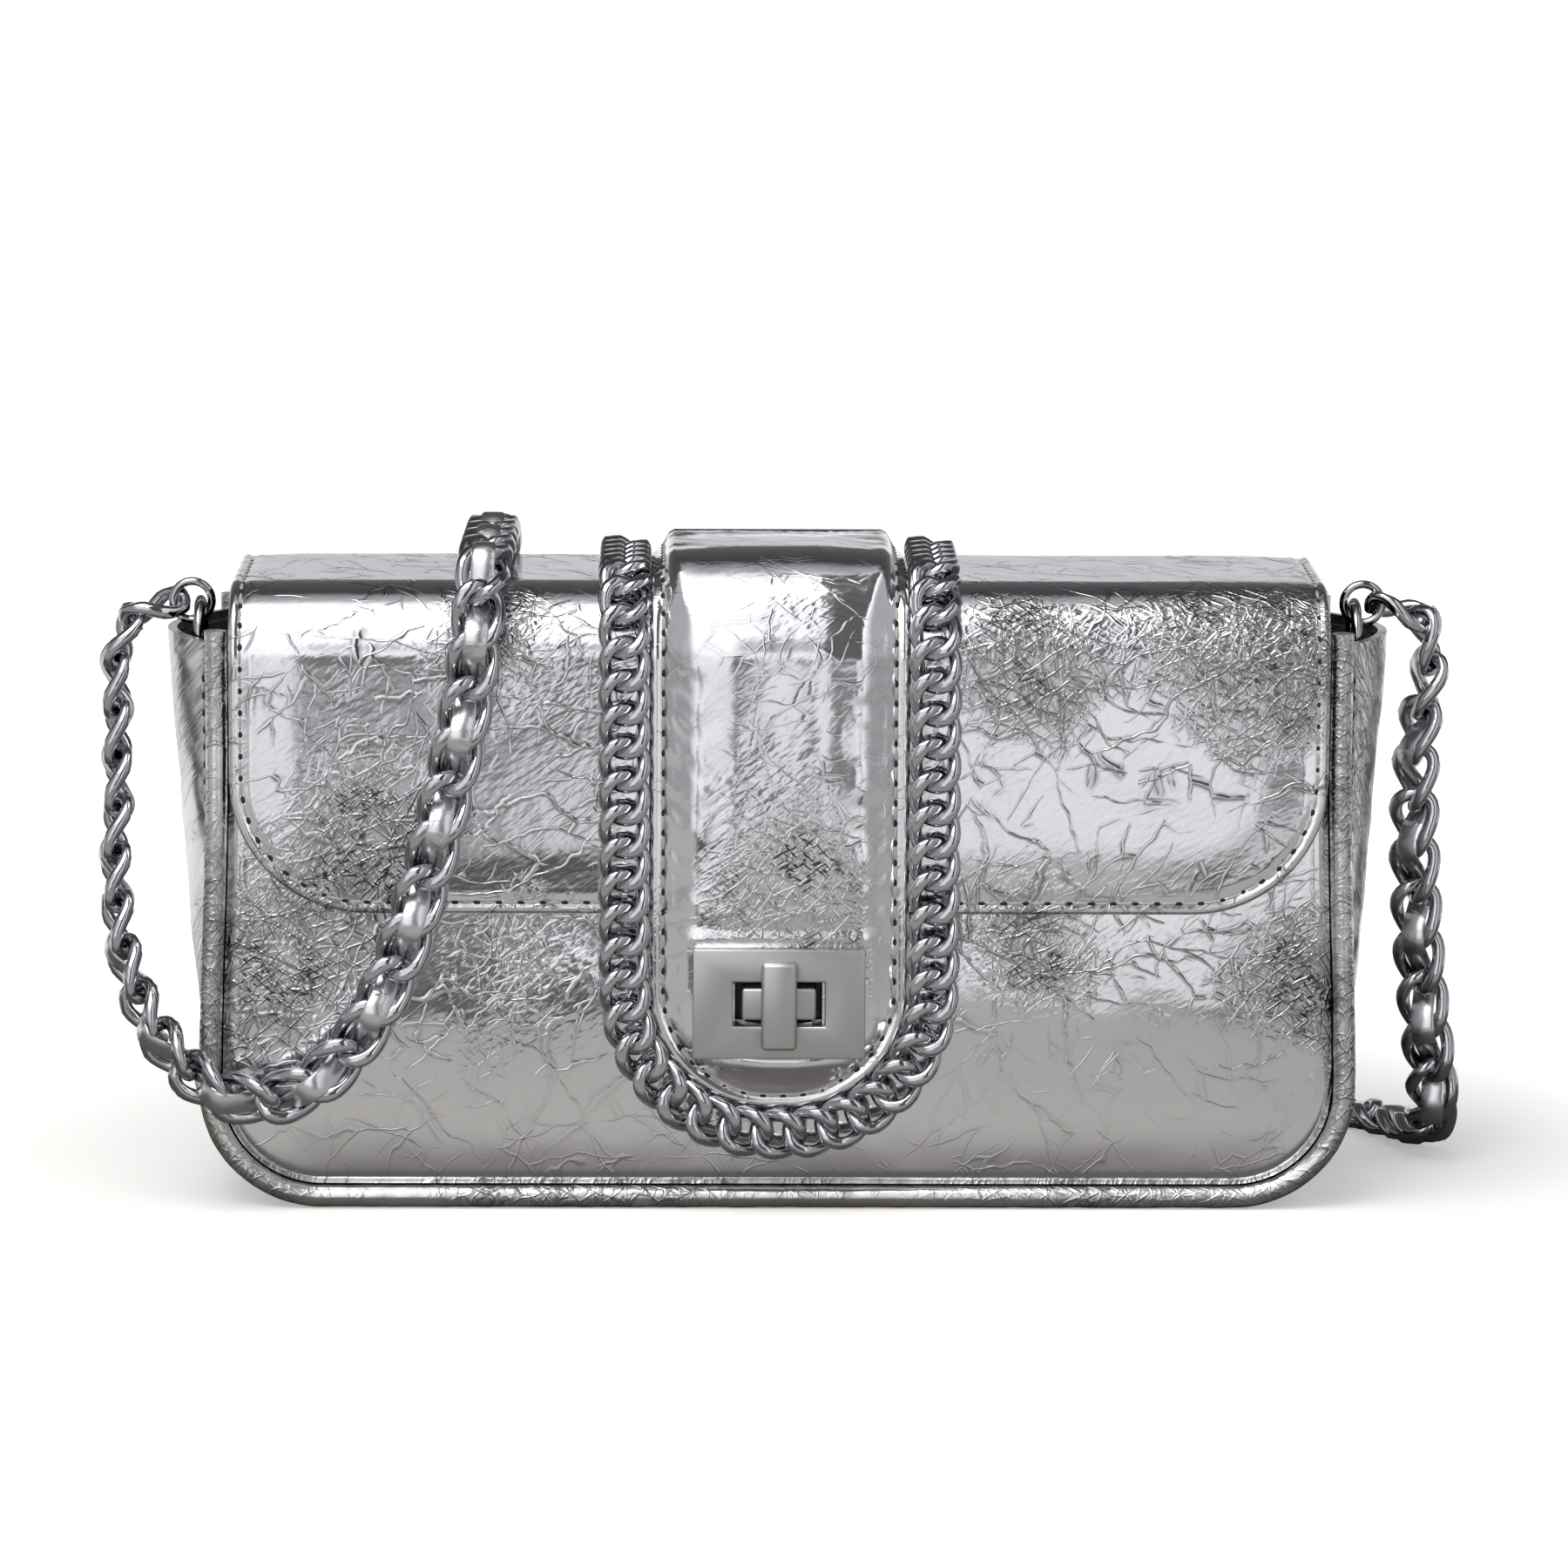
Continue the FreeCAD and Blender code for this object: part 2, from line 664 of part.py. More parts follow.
def strap_points(rows):
    """Points of the route on this bag, from one joining ring to the other."""
    wide = bag_width / 2 / route_half_width
    deep = (flap_thick - flap_front_y) / route_front
    high = (flap_inner_top + flap_thick) / route_top
    points = [V(x * wide, y * deep, z * high) for (x, y, z), _ in rows]
    points[0] = V(-strap_end_x, 0, ring_bow_z)
    points[-1] = V(strap_end_x, 0, ring_bow_z)
    return points


def strap_edges(points):
    """Straight runs and tangent arcs through the route, in one group of edges for each point."""
    groups = []
    for i, here in enumerate(points):
        if i == 0:
            groups.append([Part.makeLine(here, (here + points[1]) * 0.5)])
            continue
        if i == len(points) - 1:
            groups.append([Part.makeLine((points[i - 1] + here) * 0.5, here)])
            continue
        before = here - points[i - 1]
        after = points[i + 1] - here
        reach = bend_share * min(before.Length, after.Length)
        half_turn = before.getAngle(after) / 2
        radius = reach / math.tan(half_turn)
        come = here - before.normalize() * reach
        leave = here + after.normalize() * reach
        inward = (after - before).normalize()
        centre = here + inward * (radius / math.cos(half_turn))
        arc = Part.Arc(come, centre - inward * radius, leave).toShape()
        start = (points[i - 1] + here) * 0.5
        end = (here + points[i + 1]) * 0.5
        groups.append([Part.makeLine(start, come), arc, Part.makeLine(leave, end)])
    return groups


def strap():
    """Chain links and lace of the strap, in three stretches."""
    runs = {"left": left_run, "front": front_run, "back": back_run}
    rows = [row for run in runs.values() for row in run]
    points = strap_points(rows)
    groups = strap_edges(points)
    path = []
    marks = [0.0]
    for edges in groups:
        for edge in edges:
            path += edge.discretize(path_samples)[1 if path else 0:]
        marks.append(sum((b - a).Length for a, b in zip(path, path[1:])))
    lengths = along_path(path)
    middles = [marks[0]] + [(a + b) / 2 for a, b in zip(marks[1:], marks[2:-1])] + [marks[-1]]
    ways = [V(*row[1]).normalize() for row in rows]
    faces = [value_at(ways, middles, s) for s in lengths]
    pair = [stadium_link(link_half_length, link_half_width, link_wire, s * link_tilt) for s in (1, -1)]
    placed = place_links(path, faces, link_pitch, pair)
    pieces = {}
    first = 0
    for name, run in runs.items():
        start = marks[first]
        laced = groups[max(first, 1):min(first + len(run), len(groups) - 1)]
        edges = [edge for group in laced for edge in group]
        first += len(run)
        end = marks[first]
        lace = tube(edges, lace_dia)
        ideal = math.pi * (lace_dia / 2) ** 2 * sum(edge.Length for edge in edges)
        print("strap lace", name, "volume over section times length", lace.Volume / ideal)
        pieces["strap_lace_" + name] = lace
        links = [link for s, link in placed if start <= s < end]
        pieces["strap_links_" + name] = Part.makeCompound(links)
    print("strap length", lengths[-1], "links", len(placed))
    return pieces


def mirrored(shape):
    """The same piece at the bag's other end."""
    return shape.mirror(V(0, 0, 0), V(1, 0, 0))


def build():
    """Every piece of the bag by its node's name."""
    pieces = {
        "front_panel": front_panel(),
        "back_panel": slab(panel_half, panel_low, back_top, panel_corner, panel_inner_y, -front_y),
        "gusset": pouch_strip(gusset_x, gusset_y, 0, gusset_corner, leather, gusset_top),
        "piping_front": piping(-pipe_y),
        "piping_back": piping(pipe_y),
        "front_board": front_board(),
        "back_board": stiffener(board_y - board, board_y),
        "base_board": base_board(),
        "lining": lining_bag(),
        "flap_leather": flap_outer(),
        "flap_lining": flap_inside(),
        "tab_backing": tab_layer(tab_start, tab_start + tab_backing),
        "tab_pad": tab_layer(tab_pad_start + layer_gap, tab_pad_start + layer_gap + tab_pad, tab_seam),
        "tab_leather": tab_cover(),
        "tab_trim_chain": trim_chain(),
        "lock_plate": lock_plate(),
        "lock_backing_plate": lock_backing(),
        "lock_base": lock_base(),
        "lock_washer": lock_washer(),
        "detent_spring": detent_spring(),
        "turn_knob": turn_knob(),
        "knob_clip": knob_clip(),
    }
    for name, shape in (("chape", chape()), ("d_ring", d_ring()), ("joining_ring", joining_ring())):
        pieces[name + "_right"] = shape
        pieces[name + "_left"] = mirrored(shape)
    pieces.update(strap())
    return pieces


os.makedirs("parts", exist_ok=True)
for node, shape in build().items():
    valid = shape.isValid() and all(solid.isClosed() for solid in shape.Shells)
    print(node, len(shape.Solids), "valid" if valid else "NOT VALID", round(shape.Volume, 1))
    shape.exportStep("parts/" + node + ".step")
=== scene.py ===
import math

import bmesh
import bpy
import numpy as np
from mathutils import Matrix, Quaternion, Vector, noise


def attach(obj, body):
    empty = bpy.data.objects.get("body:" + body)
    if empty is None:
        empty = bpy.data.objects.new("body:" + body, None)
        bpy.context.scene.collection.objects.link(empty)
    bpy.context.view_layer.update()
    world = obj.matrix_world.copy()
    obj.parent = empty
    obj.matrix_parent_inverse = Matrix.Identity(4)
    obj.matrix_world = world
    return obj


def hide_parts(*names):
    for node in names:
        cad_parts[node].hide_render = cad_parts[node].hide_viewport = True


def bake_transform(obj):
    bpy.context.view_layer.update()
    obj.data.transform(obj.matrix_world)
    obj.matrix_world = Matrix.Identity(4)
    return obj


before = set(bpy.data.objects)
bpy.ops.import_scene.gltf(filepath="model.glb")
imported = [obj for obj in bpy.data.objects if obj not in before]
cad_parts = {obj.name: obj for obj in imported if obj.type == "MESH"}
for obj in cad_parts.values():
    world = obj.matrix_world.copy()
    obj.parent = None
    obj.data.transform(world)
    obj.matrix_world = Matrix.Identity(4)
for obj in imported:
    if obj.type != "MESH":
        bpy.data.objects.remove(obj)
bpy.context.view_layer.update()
mm = 0.001

# Front and back panels: foil leather with round lower corners, drawn in at the seam with the piping.
# The foil is bonded to thin leather, and handling has left creases, fine cracks and grain in its mirror face;
# the dark lines along the creases and crack lines are painted shade.

panel_half = 117.3
panel_low = 5.2
panel_top = 125.5
panel_height = 120.0
panel_corner = 21.0
panel_outer_y = 29.0
panel_inner_y = 27.0
panel_bulge = 0.8
panel_bulge_width = 24
panel_bulge_fade = (40, 68)
panel_roll = 1.5
panel_roll_width = 3.0
panel_dent = 0.16
panel_dent_seed = 3.0
panel_dent_start = (1, 9)
under_tab_press = 0.5
under_tab_side = (14, 30)
under_tab_end = (28, 38)
under_flap_calm = 0.75
under_flap_edge = (56, 66)
base_splay = 0.017
splay_fade = (20, 100)
edge_step = 0.45
middle_step = 1.7
step_growth = 0.16
dent_layers = ((1.0, 1.0), (0.45, 2.3), (0.22, 5.1))
sheet_turn = math.radians(55)


def new_piece(name, mesh, material):
    """Object for a finished mesh, at the origin."""
    piece = bpy.data.objects.new(name, mesh)
    bpy.context.scene.collection.objects.link(piece)
    mesh.materials.clear()
    mesh.materials.append(material)
    return piece


def ease(low, high, value):
    """Smooth rise from 0 at low to 1 at high."""
    share = min(max((value - low) / (high - low), 0.0), 1.0)
    return share * share * (3 - 2 * share)


def spaced(length, fine, coarse, ends=(True, True)):
    """Places along a length, close together at the ends that ask for it."""
    steps = []
    place = 0.0
    while place < length:
        gap = min(place if ends[0] else length, length - place if ends[1] else length)
        steps.append(place)
        place += min(coarse, fine + step_growth * gap)
    if length - steps[-1] < 0.5 * fine:
        steps.pop()
    return np.array(steps + [length])


def low_edge(x, half, low, corner):
    """Height of an outline with two round lower corners at a place across it."""
    over = abs(x) - (half - corner)
    if over <= 0:
        return low
    return low + corner - math.sqrt(max(corner * corner - over * over, 0.0))


def edge_distance(x, z, half, low, corner):
    """How far a point is inside that outline's sides and lower edge."""
    side = abs(x) - (half - corner)
    down = low + corner - z
    if side > 0 and down > 0:
        return corner - math.hypot(side, down)
    return min(half - abs(x), z - low)


def dents(x, y, z, seed, size=26.0):
    """Soft hollows left by handling, from about -1 to 1."""
    place = Vector((x / size + seed, y / size, z / size - seed))
    return sum(share * noise.noise(place * finer) for share, finer in dent_layers)


def finish_mesh(mesh, made, turn=sheet_turn):
    """Mesh of what was made, smooth apart from the edges that turn by more than an angle."""
    made.to_mesh(mesh)
    made.free()
    mesh.shade_smooth()
    mesh.set_sharp_from_angle(angle=turn)
    return mesh


def sheet_mesh(name, outer, inner, keep=None):
    """Closed sheet between two grids of points in millimetres, with openings where keep is False."""
    rows, columns = outer.shape[:2]
    kept = np.ones((rows - 1, columns - 1), bool) if keep is None else keep
    count = rows * columns
    faces = []
    borders = {}
    for r in range(rows - 1):
        for c in range(columns - 1):
            if not kept[r, c]:
                continue
            ring = (r * columns + c, r * columns + c + 1, (r + 1) * columns + c + 1, (r + 1) * columns + c)
            faces.append(ring)
            faces.append(tuple(count + i for i in reversed(ring)))
            for a, b in zip(ring, ring[1:] + ring[:1]):
                if (b, a) in borders:
                    del borders[(b, a)]
                else:
                    borders[(a, b)] = True
    faces += [(b, a, count + a, count + b) for a, b in borders]
    points = np.concatenate([outer.reshape(-1, 3), inner.reshape(-1, 3)]) * mm
    mesh = bpy.data.meshes.new(name)
    mesh.from_pydata(points.tolist(), [], faces)
    cleaned = bmesh.new()
    cleaned.from_mesh(mesh)
    bmesh.ops.delete(cleaned, geom=[v for v in cleaned.verts if not v.link_faces], context="VERTS")
    bmesh.ops.remove_doubles(cleaned, verts=cleaned.verts, dist=1e-6)
    bmesh.ops.recalc_face_normals(cleaned, faces=cleaned.faces)
    return finish_mesh(mesh, cleaned)


def socket(tree, name, kind, way, value=None):
    """Named input or output of a node tree."""
    made = tree.interface.new_socket(name=name, in_out=way, socket_type="NodeSocket" + kind)
    if value is not None:
        made.default_value = value


def add(tree, kind, links=(), **values):
    """Node with its plain settings and linked inputs."""
    node = tree.nodes.new(kind)
    for key, value in values.items():
        setattr(node, key, value)
    for place, source in links:
        if hasattr(source, "is_output"):
            tree.links.new(source, node.inputs[place])
        else:
            node.inputs[place].default_value = source
    return node


def maths(tree, operation, *terms):
    """Result of a Math node."""
    return add(tree, "ShaderNodeMath", list(enumerate(terms)), operation=operation).outputs[0]


def combined(tree, operation, values):
    """One value from several."""
    whole = values[0]
    for value in values[1:]:
        whole = maths(tree, operation, whole, value)
    return whole


def ranged(tree, value, low, high, first=0.0, last=1.0, kind="LINEAR"):
    """Value carried evenly from one range to another."""
    ends = [(0, value), (1, low), (2, high), (3, first), (4, last)]
    return add(tree, "ShaderNodeMapRange", ends, interpolation_type=kind).outputs[0]


def soft_step(tree, value, low, high, first=0.0, last=1.0):
    """Value carried from one range to another in a soft step."""
    return ranged(tree, value, low, high, first, last, "SMOOTHSTEP")


def distance_from(tree, place, centre):
    """How far a place is from a centre."""
    return add(tree, "ShaderNodeVectorMath", [(0, place), (1, centre)], operation="DISTANCE").outputs["Value"]


def speckle(tree, place, scale, detail, **values):
    """Noise over a place."""
    links = [("Vector", place), ("Scale", scale), ("Detail", detail)]
    return add(tree, "ShaderNodeTexNoise", links, **values).outputs


def two_tone(tree, share, first, second):
    """Colour between two colours."""
    return add(tree, "ShaderNodeMix", [(0, share), (6, first), (7, second)], data_type="RGBA").outputs[2]


def new_finish(name):
    """New material with its tree, its shader and the place on the piece."""
    material = bpy.data.materials.new(name)
    material.use_nodes = True
    tree = material.node_tree
    place = add(tree, "ShaderNodeTexCoord").outputs["Object"]
    return material, tree, tree.nodes["Principled BSDF"], place


def bumped(tree, shader, height, strength, distance):
    """Raises the surface of a material by a height."""
    bump = add(tree, "ShaderNodeBump", [("Height", height), ("Strength", strength), ("Distance", distance)])
    tree.links.new(bump.outputs[0], shader.inputs["Normal"])


# Each row of long creases: direction, cells in a metre, stretch, width, steepness, sway,
# the cloud and its channel that show them, and the levels between which they appear.
long_creases = (
    (26.0, 74.0, 3.2, 0.022, 0.40, 0.016, "wide", 0, 0.44, 0.62),
    (-50.0, 82.0, 3.0, 0.022, 0.38, 0.014, "wide", 1, 0.46, 0.64),
    (-6.0, 150.0, 3.4, 0.034, 0.32, 0.010, "close", 0, 0.44, 0.62),
    (44.0, 190.0, 2.6, 0.040, 0.30, 0.008, "close", 1, 0.46, 0.62),
    (80.0, 150.0, 3.0, 0.036, 0.30, 0.010, "close", 2, 0.52, 0.66),
)
# Each row of cracks in the worn places: direction, cells in a metre, stretch, width and steepness.
worn_cracks = (
    (34.0, 290.0, 3.0, 0.09, 0.46),
    (-38.0, 340.0, 2.8, 0.10, 0.44),
    (72.0, 430.0, 2.4, 0.12, 0.42),
)
worn_sway = 0.006
halo_width = 2.4
calm_heights = (0.028, 0.05)
calm_share = 0.28
fleck_depth = 0.00003
grain_height = 0.0001


def crease_group():
    """Handled foil: long creases that cross and branch, and crack lines, flecks and grain where it is worn,
    with painted shade as dark lines along both sides of the creases and crack lines.
    """
    tree = bpy.data.node_groups.new("foil_creases", "ShaderNodeTree")
    socket(tree, "Vector", "Vector", "INPUT")
    socket(tree, "Worn", "Float", "INPUT", 0.0)
    for label in ("Creases", "Crumpling", "Flecks"):
        socket(tree, label, "Float", "INPUT", 1.0)
    for label in ("Height", "Crease shade and flecks", "Patches"):
        socket(tree, label, "Float", "OUTPUT")
    given = tree.nodes.new("NodeGroupInput").outputs
    spot = add(tree, "ShaderNodeSeparateXYZ", [(0, given["Vector"])]).outputs
    across = maths(tree, "MULTIPLY_ADD", spot[1], 0.6, spot[0])
    upward = maths(tree, "MULTIPLY_ADD", spot[1], 0.8, spot[2])
    place = add(tree, "ShaderNodeCombineXYZ", [(0, across), (1, upward)]).outputs[0]

    def times(first, second):
        """Product of two values."""
        return maths(tree, "MULTIPLY", first, second)

    def cloud(scale, detail):
        """Noise over the leather, as a colour."""
        return speckle(tree, place, scale, detail, noise_dimensions="2D")["Color"]

    def clouds(scale, detail):
        """Noise over the leather, as three values."""
        return add(tree, "ShaderNodeSeparateColor", [(0, cloud(scale, detail))]).outputs

    def stretched(vector, angle, stretch):
        """Place for a pattern that is longer in one direction."""
        turn = (0, 0, math.radians(angle))
        links = [("Vector", vector), ("Rotation", turn), ("Scale", (stretch, 1.0, 1.0))]
        return add(tree, "ShaderNodeMapping", links, vector_type="TEXTURE").outputs[0]

    def net(angle, scale, stretch, width, push):
        """Lines on the borders of cells that are long in one direction, and a wider halo of each."""
        moved = add(tree, "ShaderNodeVectorMath", [(0, sway), (1, (push, push, 0.0)), (2, place)],
                    operation="MULTIPLY_ADD").outputs[0]
        links = [("Vector", stretched(moved, angle, stretch)), ("Scale", scale)]
        edge = add(tree, "ShaderNodeTexVoronoi", links, feature="DISTANCE_TO_EDGE",
                   voronoi_dimensions="2D").outputs["Distance"]
        return [soft_step(tree, edge, reach, 0.0) for reach in (width, halo_width * width)]

    def brushed(angle, scale, stretch):
        """Fine grain that is longer in one direction."""
        return speckle(tree, stretched(place, angle, stretch), scale, 1.0, noise_dimensions="2D")["Fac"]

    def shade_flank(ridge, halo, shown):
        """Painted shade: dark line along both sides of a ridge."""
        return times(maths(tree, "SUBTRACT", halo, ridge), shown)

    sway = cloud(48.0, 3.0)
    levels = {"wide": clouds(21.0, 2.0), "close": clouds(44.0, 2.0)}
    wide = levels["wide"]
    worn = soft_step(tree, maths(tree, "MULTIPLY_ADD", given["Worn"], 0.5, wide[2]), 0.66, 0.95)
    gaps = soft_step(tree, clouds(100.0, 1.0)[0], 0.32, 0.46)
    low_calm = ranged(tree, spot[2], *calm_heights, calm_share, 1.0)
    lines = []
    shade_flanks = []
    for angle, scale, stretch, width, steep, push, level, channel, low, high in long_creases:
        shown = maths(tree, "MULTIPLY_ADD", worn, 0.08, levels[level][channel])
        shown = times(soft_step(tree, shown, low, high), gaps)
        ridge, halo = net(angle, scale, stretch, width, push)
        # Painted shade along both sides of each crease.
        shade_flanks.append(shade_flank(ridge, halo, shown))
        lines.append(times(times(ridge, shown), steep * width / scale))
    height = times(times(combined(tree, "ADD", lines), given["Creases"]), low_calm)
    crease_shade_and_flecks = times(times(combined(tree, "MAXIMUM", shade_flanks), given["Creases"]), low_calm)
    crumpled = times(worn, given["Crumpling"])
    broken = clouds(150.0, 1.0)
    for k, (angle, scale, stretch, width, steep) in enumerate(worn_cracks):
        shown = times(soft_step(tree, broken[k], 0.34, 0.5), crumpled)
        ridge, halo = net(angle, scale, stretch, width, worn_sway)
        crease_shade_and_flecks = maths(tree, "MAXIMUM", crease_shade_and_flecks, shade_flank(ridge, halo, shown))
        height = maths(tree, "MULTIPLY_ADD", times(ridge, shown), steep * width / scale, height)
    flecks = maths(tree, "MAXIMUM", brushed(30.0, 1500.0, 5.0), brushed(-44.0, 1700.0, 4.0))
    flecks = times(soft_step(tree, flecks, 0.58, 0.66), given["Flecks"])
    clusters = soft_step(tree, clouds(85.0, 2.0)[1], 0.42, 0.62)
    flecks = times(flecks, times(clusters, soft_step(tree, worn, 0.2, 0.9)))
    crease_shade_and_flecks = maths(tree, "MAXIMUM", crease_shade_and_flecks, flecks)
    height = maths(tree, "MULTIPLY_ADD", flecks, -fleck_depth, height)
    rubbed = soft_step(tree, maths(tree, "MULTIPLY_ADD", given["Worn"], 0.55, wide[1]), 0.56, 0.94)
    rubbed = times(maths(tree, "MULTIPLY_ADD", rubbed, 0.8, 0.2), low_calm)
    grain = times(brushed(34.0, 760.0, 2.2), rubbed)
    height = maths(tree, "MULTIPLY_ADD", grain, grain_height, height)
    add(tree, "NodeGroupOutput", [(0, height), (1, crease_shade_and_flecks), (2, worn)])
    return tree


creases = crease_group()
foil_colour = (0.83, 0.83, 0.84)
crease_shade_share = 0.9
patch_share = 0.1
crease_shade_dark = 0.1
worn_roughness = 0.06
# Middle and radius of each place that handling has worn most.
worn_places = [
    ((-96, -31, 76), 34), ((-50, -30, 54), 30), ((-110, -30, 50), 30), ((116, -29, 50), 26),
    ((96, -29, 130), 34), ((-4, -36, 76), 32), ((55, -30, 58), 22), ((-60, -29, 124), 24),
    ((50, -29, 126), 26),
]


def foil_leather(name, colour, creased=1.0, crumpled=1.0, roughness=0.11, places=(), wear=0.0, flecks=1.0):
    """Mirror foil on leather: bright metal with painted shade along its creases and dark flecks, duller and
    rougher in its worn places.
    """
    material, tree, shader, place = new_finish(name)
    shader.inputs["Metallic"].default_value = 1.0
    handled = add(tree, "ShaderNodeGroup", [("Vector", place), ("Worn", wear), ("Creases", creased),
                  ("Crumpling", crumpled), ("Flecks", flecks)], node_tree=creases)
    if places:
        near = [ranged(tree, distance_from(tree, place, Vector(centre) * mm), radius * mm, 0.0)
                for centre, radius in places]
        tree.links.new(combined(tree, "MAXIMUM", near), handled.inputs["Worn"])
    dark = tuple(crease_shade_dark * c for c in colour)
    # Painted shade: the base colour goes dark along both sides of each crease and crack line; flecks and worn
    # patches darken it as wear.
    shade_and_wear = maths(tree, "MULTIPLY", handled.outputs["Crease shade and flecks"], crease_shade_share)
    shade_and_wear = maths(tree, "MULTIPLY_ADD", handled.outputs["Patches"], patch_share, shade_and_wear)
    tree.links.new(two_tone(tree, shade_and_wear, (*colour, 1), (*dark, 1)), shader.inputs["Base Color"])
    rough = ranged(tree, handled.outputs["Patches"], 0.0, 1.0, roughness, roughness + worn_roughness)
    tree.links.new(rough, shader.inputs["Roughness"])
    bumped(tree, shader, handled.outputs["Height"], 1.0, 1.0)
    return material


silver_foil = foil_leather("silver_foil_leather", foil_colour, places=worn_places)


def splay(x, z):
    """The pouch widens a little towards its base: place across it at a height."""
    return x * (1 + base_splay * (1 - ease(*splay_fade, z)))


def panel_piece(name, side, node):
    """Panel on the front (side -1) or back (side 1) of the pouch."""
    across = spaced(2 * panel_half, edge_step, middle_step) - panel_half
    up = spaced(1.0, edge_step / panel_height, middle_step / panel_height, (True, False))
    outer = np.zeros((len(up), len(across), 3))
    inner = np.zeros_like(outer)
    for c, x in enumerate(across):
        low = low_edge(x, panel_half, panel_low, panel_corner)
        for r, share in enumerate(up):
            z = low + (panel_top - low) * share
            inset = edge_distance(x, z, panel_half, panel_low, panel_corner)
            swell = panel_bulge * ease(0, panel_bulge_width, inset) * (1 - ease(*panel_bulge_fade, z))
            swell *= 1 - under_tab_press * (1 - ease(*under_tab_side, abs(x))) * ease(*under_tab_end, z)
            soft = panel_dent * dents(x, 0, z, panel_dent_seed + side) * ease(*panel_dent_start, inset)
            soft *= 1 - under_flap_calm * ease(*under_flap_edge, z)
            rolled = panel_roll * (1 - ease(0, panel_roll_width, inset)) ** 2
            outer[r, c] = splay(x, z), side * (panel_outer_y + swell + soft - rolled), z
            inner[r, c] = splay(x, z), side * panel_inner_y, z
    piece = new_piece(name, sheet_mesh(name, outer, inner), silver_foil)
    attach(piece, "bag")
    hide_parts(node)


panel_piece("front_leather", -1, "front_panel")
panel_piece("back_leather", 1, "back_panel")

# Gusset: one strip of the same foil leather down one side, under the base and up the other, in a darker copy
# of the foil whose colour paints shade on the side walls and base.
# Its side walls bow outwards, and its edges turn in to the seams with the piping.

gusset_x = 121.0
gusset_y = 25.3
gusset_top = 122.5
gusset_corner = 24.7
gusset_thick = 2.0
wall_start = 24.0
bow_top = 11.0
bow_power = 0.8
bow_fullness = 0.12
strip_end_step = 0.5
strip_cross_step = 1.8
wave_size = 20.0
wave_start = (1, 7)
wave_rise = (6, 22)
tuck_depth = 0.9
tuck_width = 3.2
base_play = 0.6
mouth_play = 1.5


def strip_path(half, low, corner, top, step):
    """Places down the left side, under the base and up the right side: point and outward direction."""
    side = top - low - corner
    bend = corner * math.pi / 2
    base = 2 * (half - corner)
    total = 2 * side + 2 * bend + base
    places = []
    for s in spaced(total, strip_end_step, step):
        if s < side:
            places.append(((-half, top - s), (-1.0, 0.0)))
        elif s < side + bend:
            turn = (s - side) / corner
            out = (-math.cos(turn), -math.sin(turn))
            places.append(((-half + corner + corner * out[0], low + corner + corner * out[1]), out))
        elif s < side + bend + base:
            places.append(((-half + corner + s - side - bend, low), (0.0, -1.0)))
        elif s < side + 2 * bend + base:
            turn = (s - side - bend - base) / corner
            out = (math.sin(turn), -math.cos(turn))
            places.append(((half - corner + corner * out[0], low + corner + corner * out[1]), out))
        else:
            places.append(((half, low + corner + s - side - 2 * bend - base), (1.0, 0.0)))
    return places


def bow_at(z):
    """How far the side wall stands out at a height."""
    if z < wall_start:
        return 0.0
    share = (z - wall_start) / (gusset_top - wall_start)
    return bow_top * share ** bow_power * (1 + bow_fullness * math.sin(math.pi * share))


def wall_strip(name, half, low, corner, top, reach_y, thick, step, seed, soft):
    """Closed strip that follows the side walls and the base."""
    places = strip_path(half, low, corner, top, step)
    across = spaced(2 * reach_y, strip_end_step, strip_cross_step) - reach_y
    outer = np.zeros((len(places), len(across), 3))
    inner = np.zeros_like(outer)
    for r, ((x, z), out) in enumerate(places):
        for c, y in enumerate(across):
            bow = bow_at(z) * (1 - (y / reach_y) ** 2)
            inset = min(reach_y - abs(y), top - z + mouth_play)
            wave = soft * dents(x, y, z, seed, wave_size) * ease(*wave_start, inset) * ease(*wave_rise, z)
            tuck = tuck_depth * (1 - ease(0, tuck_width, reach_y - abs(y))) ** 2
            level = max(bow + wave - tuck, -z * abs(out[1]) - base_play)
            down = min(level, 0.0)
            outer[r, c] = splay(x + out[0] * level, z), y, z + out[1] * down
            inner[r, c] = splay(x + out[0] * (level - thick), z), y, z + out[1] * (down - thick)
    return sheet_mesh(name, outer, inner)


gusset_mesh = wall_strip("gusset_leather", gusset_x, 0.0, gusset_corner, gusset_top, gusset_y, gusset_thick,
                         step=1.8, seed=7.0, soft=0.5)
# Painted shade: the gusset's foil is a darker copy of the silver foil, colour 0.66 against 0.83.
shaded_seam_foil = foil_leather("shaded_seam_foil_leather", (0.66, 0.66, 0.67), creased=0.8, crumpled=0.6, roughness=0.2,
                         wear=0.6, flecks=0.4)
gusset_leather = new_piece("gusset_leather", gusset_mesh, shaded_seam_foil)
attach(gusset_leather, "bag")
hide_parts("gusset")

# Piping: a cord wrapped in foil leather and sewn into the seam between each panel and the gusset.
# The wrap is crackled all along, and puckers a little where it goes round the lower corners.

pipe_x = 120.0
pipe_y = 28.0
pipe_low = 2.5
pipe_radius = 2.4
pipe_corner = 23.7
pipe_sides = 14
pipe_step = 1.2
pucker_depth = 0.1
pucker_size = 3
tube_turn = math.radians(60)
piping_foil = foil_leather("piping_foil_leather", (0.86, 0.85, 0.835), crumpled=0.8, roughness=0.24,
                           wear=0.7, flecks=0.7)


def ring_faces(rings, sides):
    """Faces between rings of points that follow each other."""
    faces = []
    for i in range(rings - 1):
        for k in range(sides):
            a, b = i * sides + k, i * sides + (k + 1) % sides
            faces.append((a, b, b + sides, a + sides))
    return faces


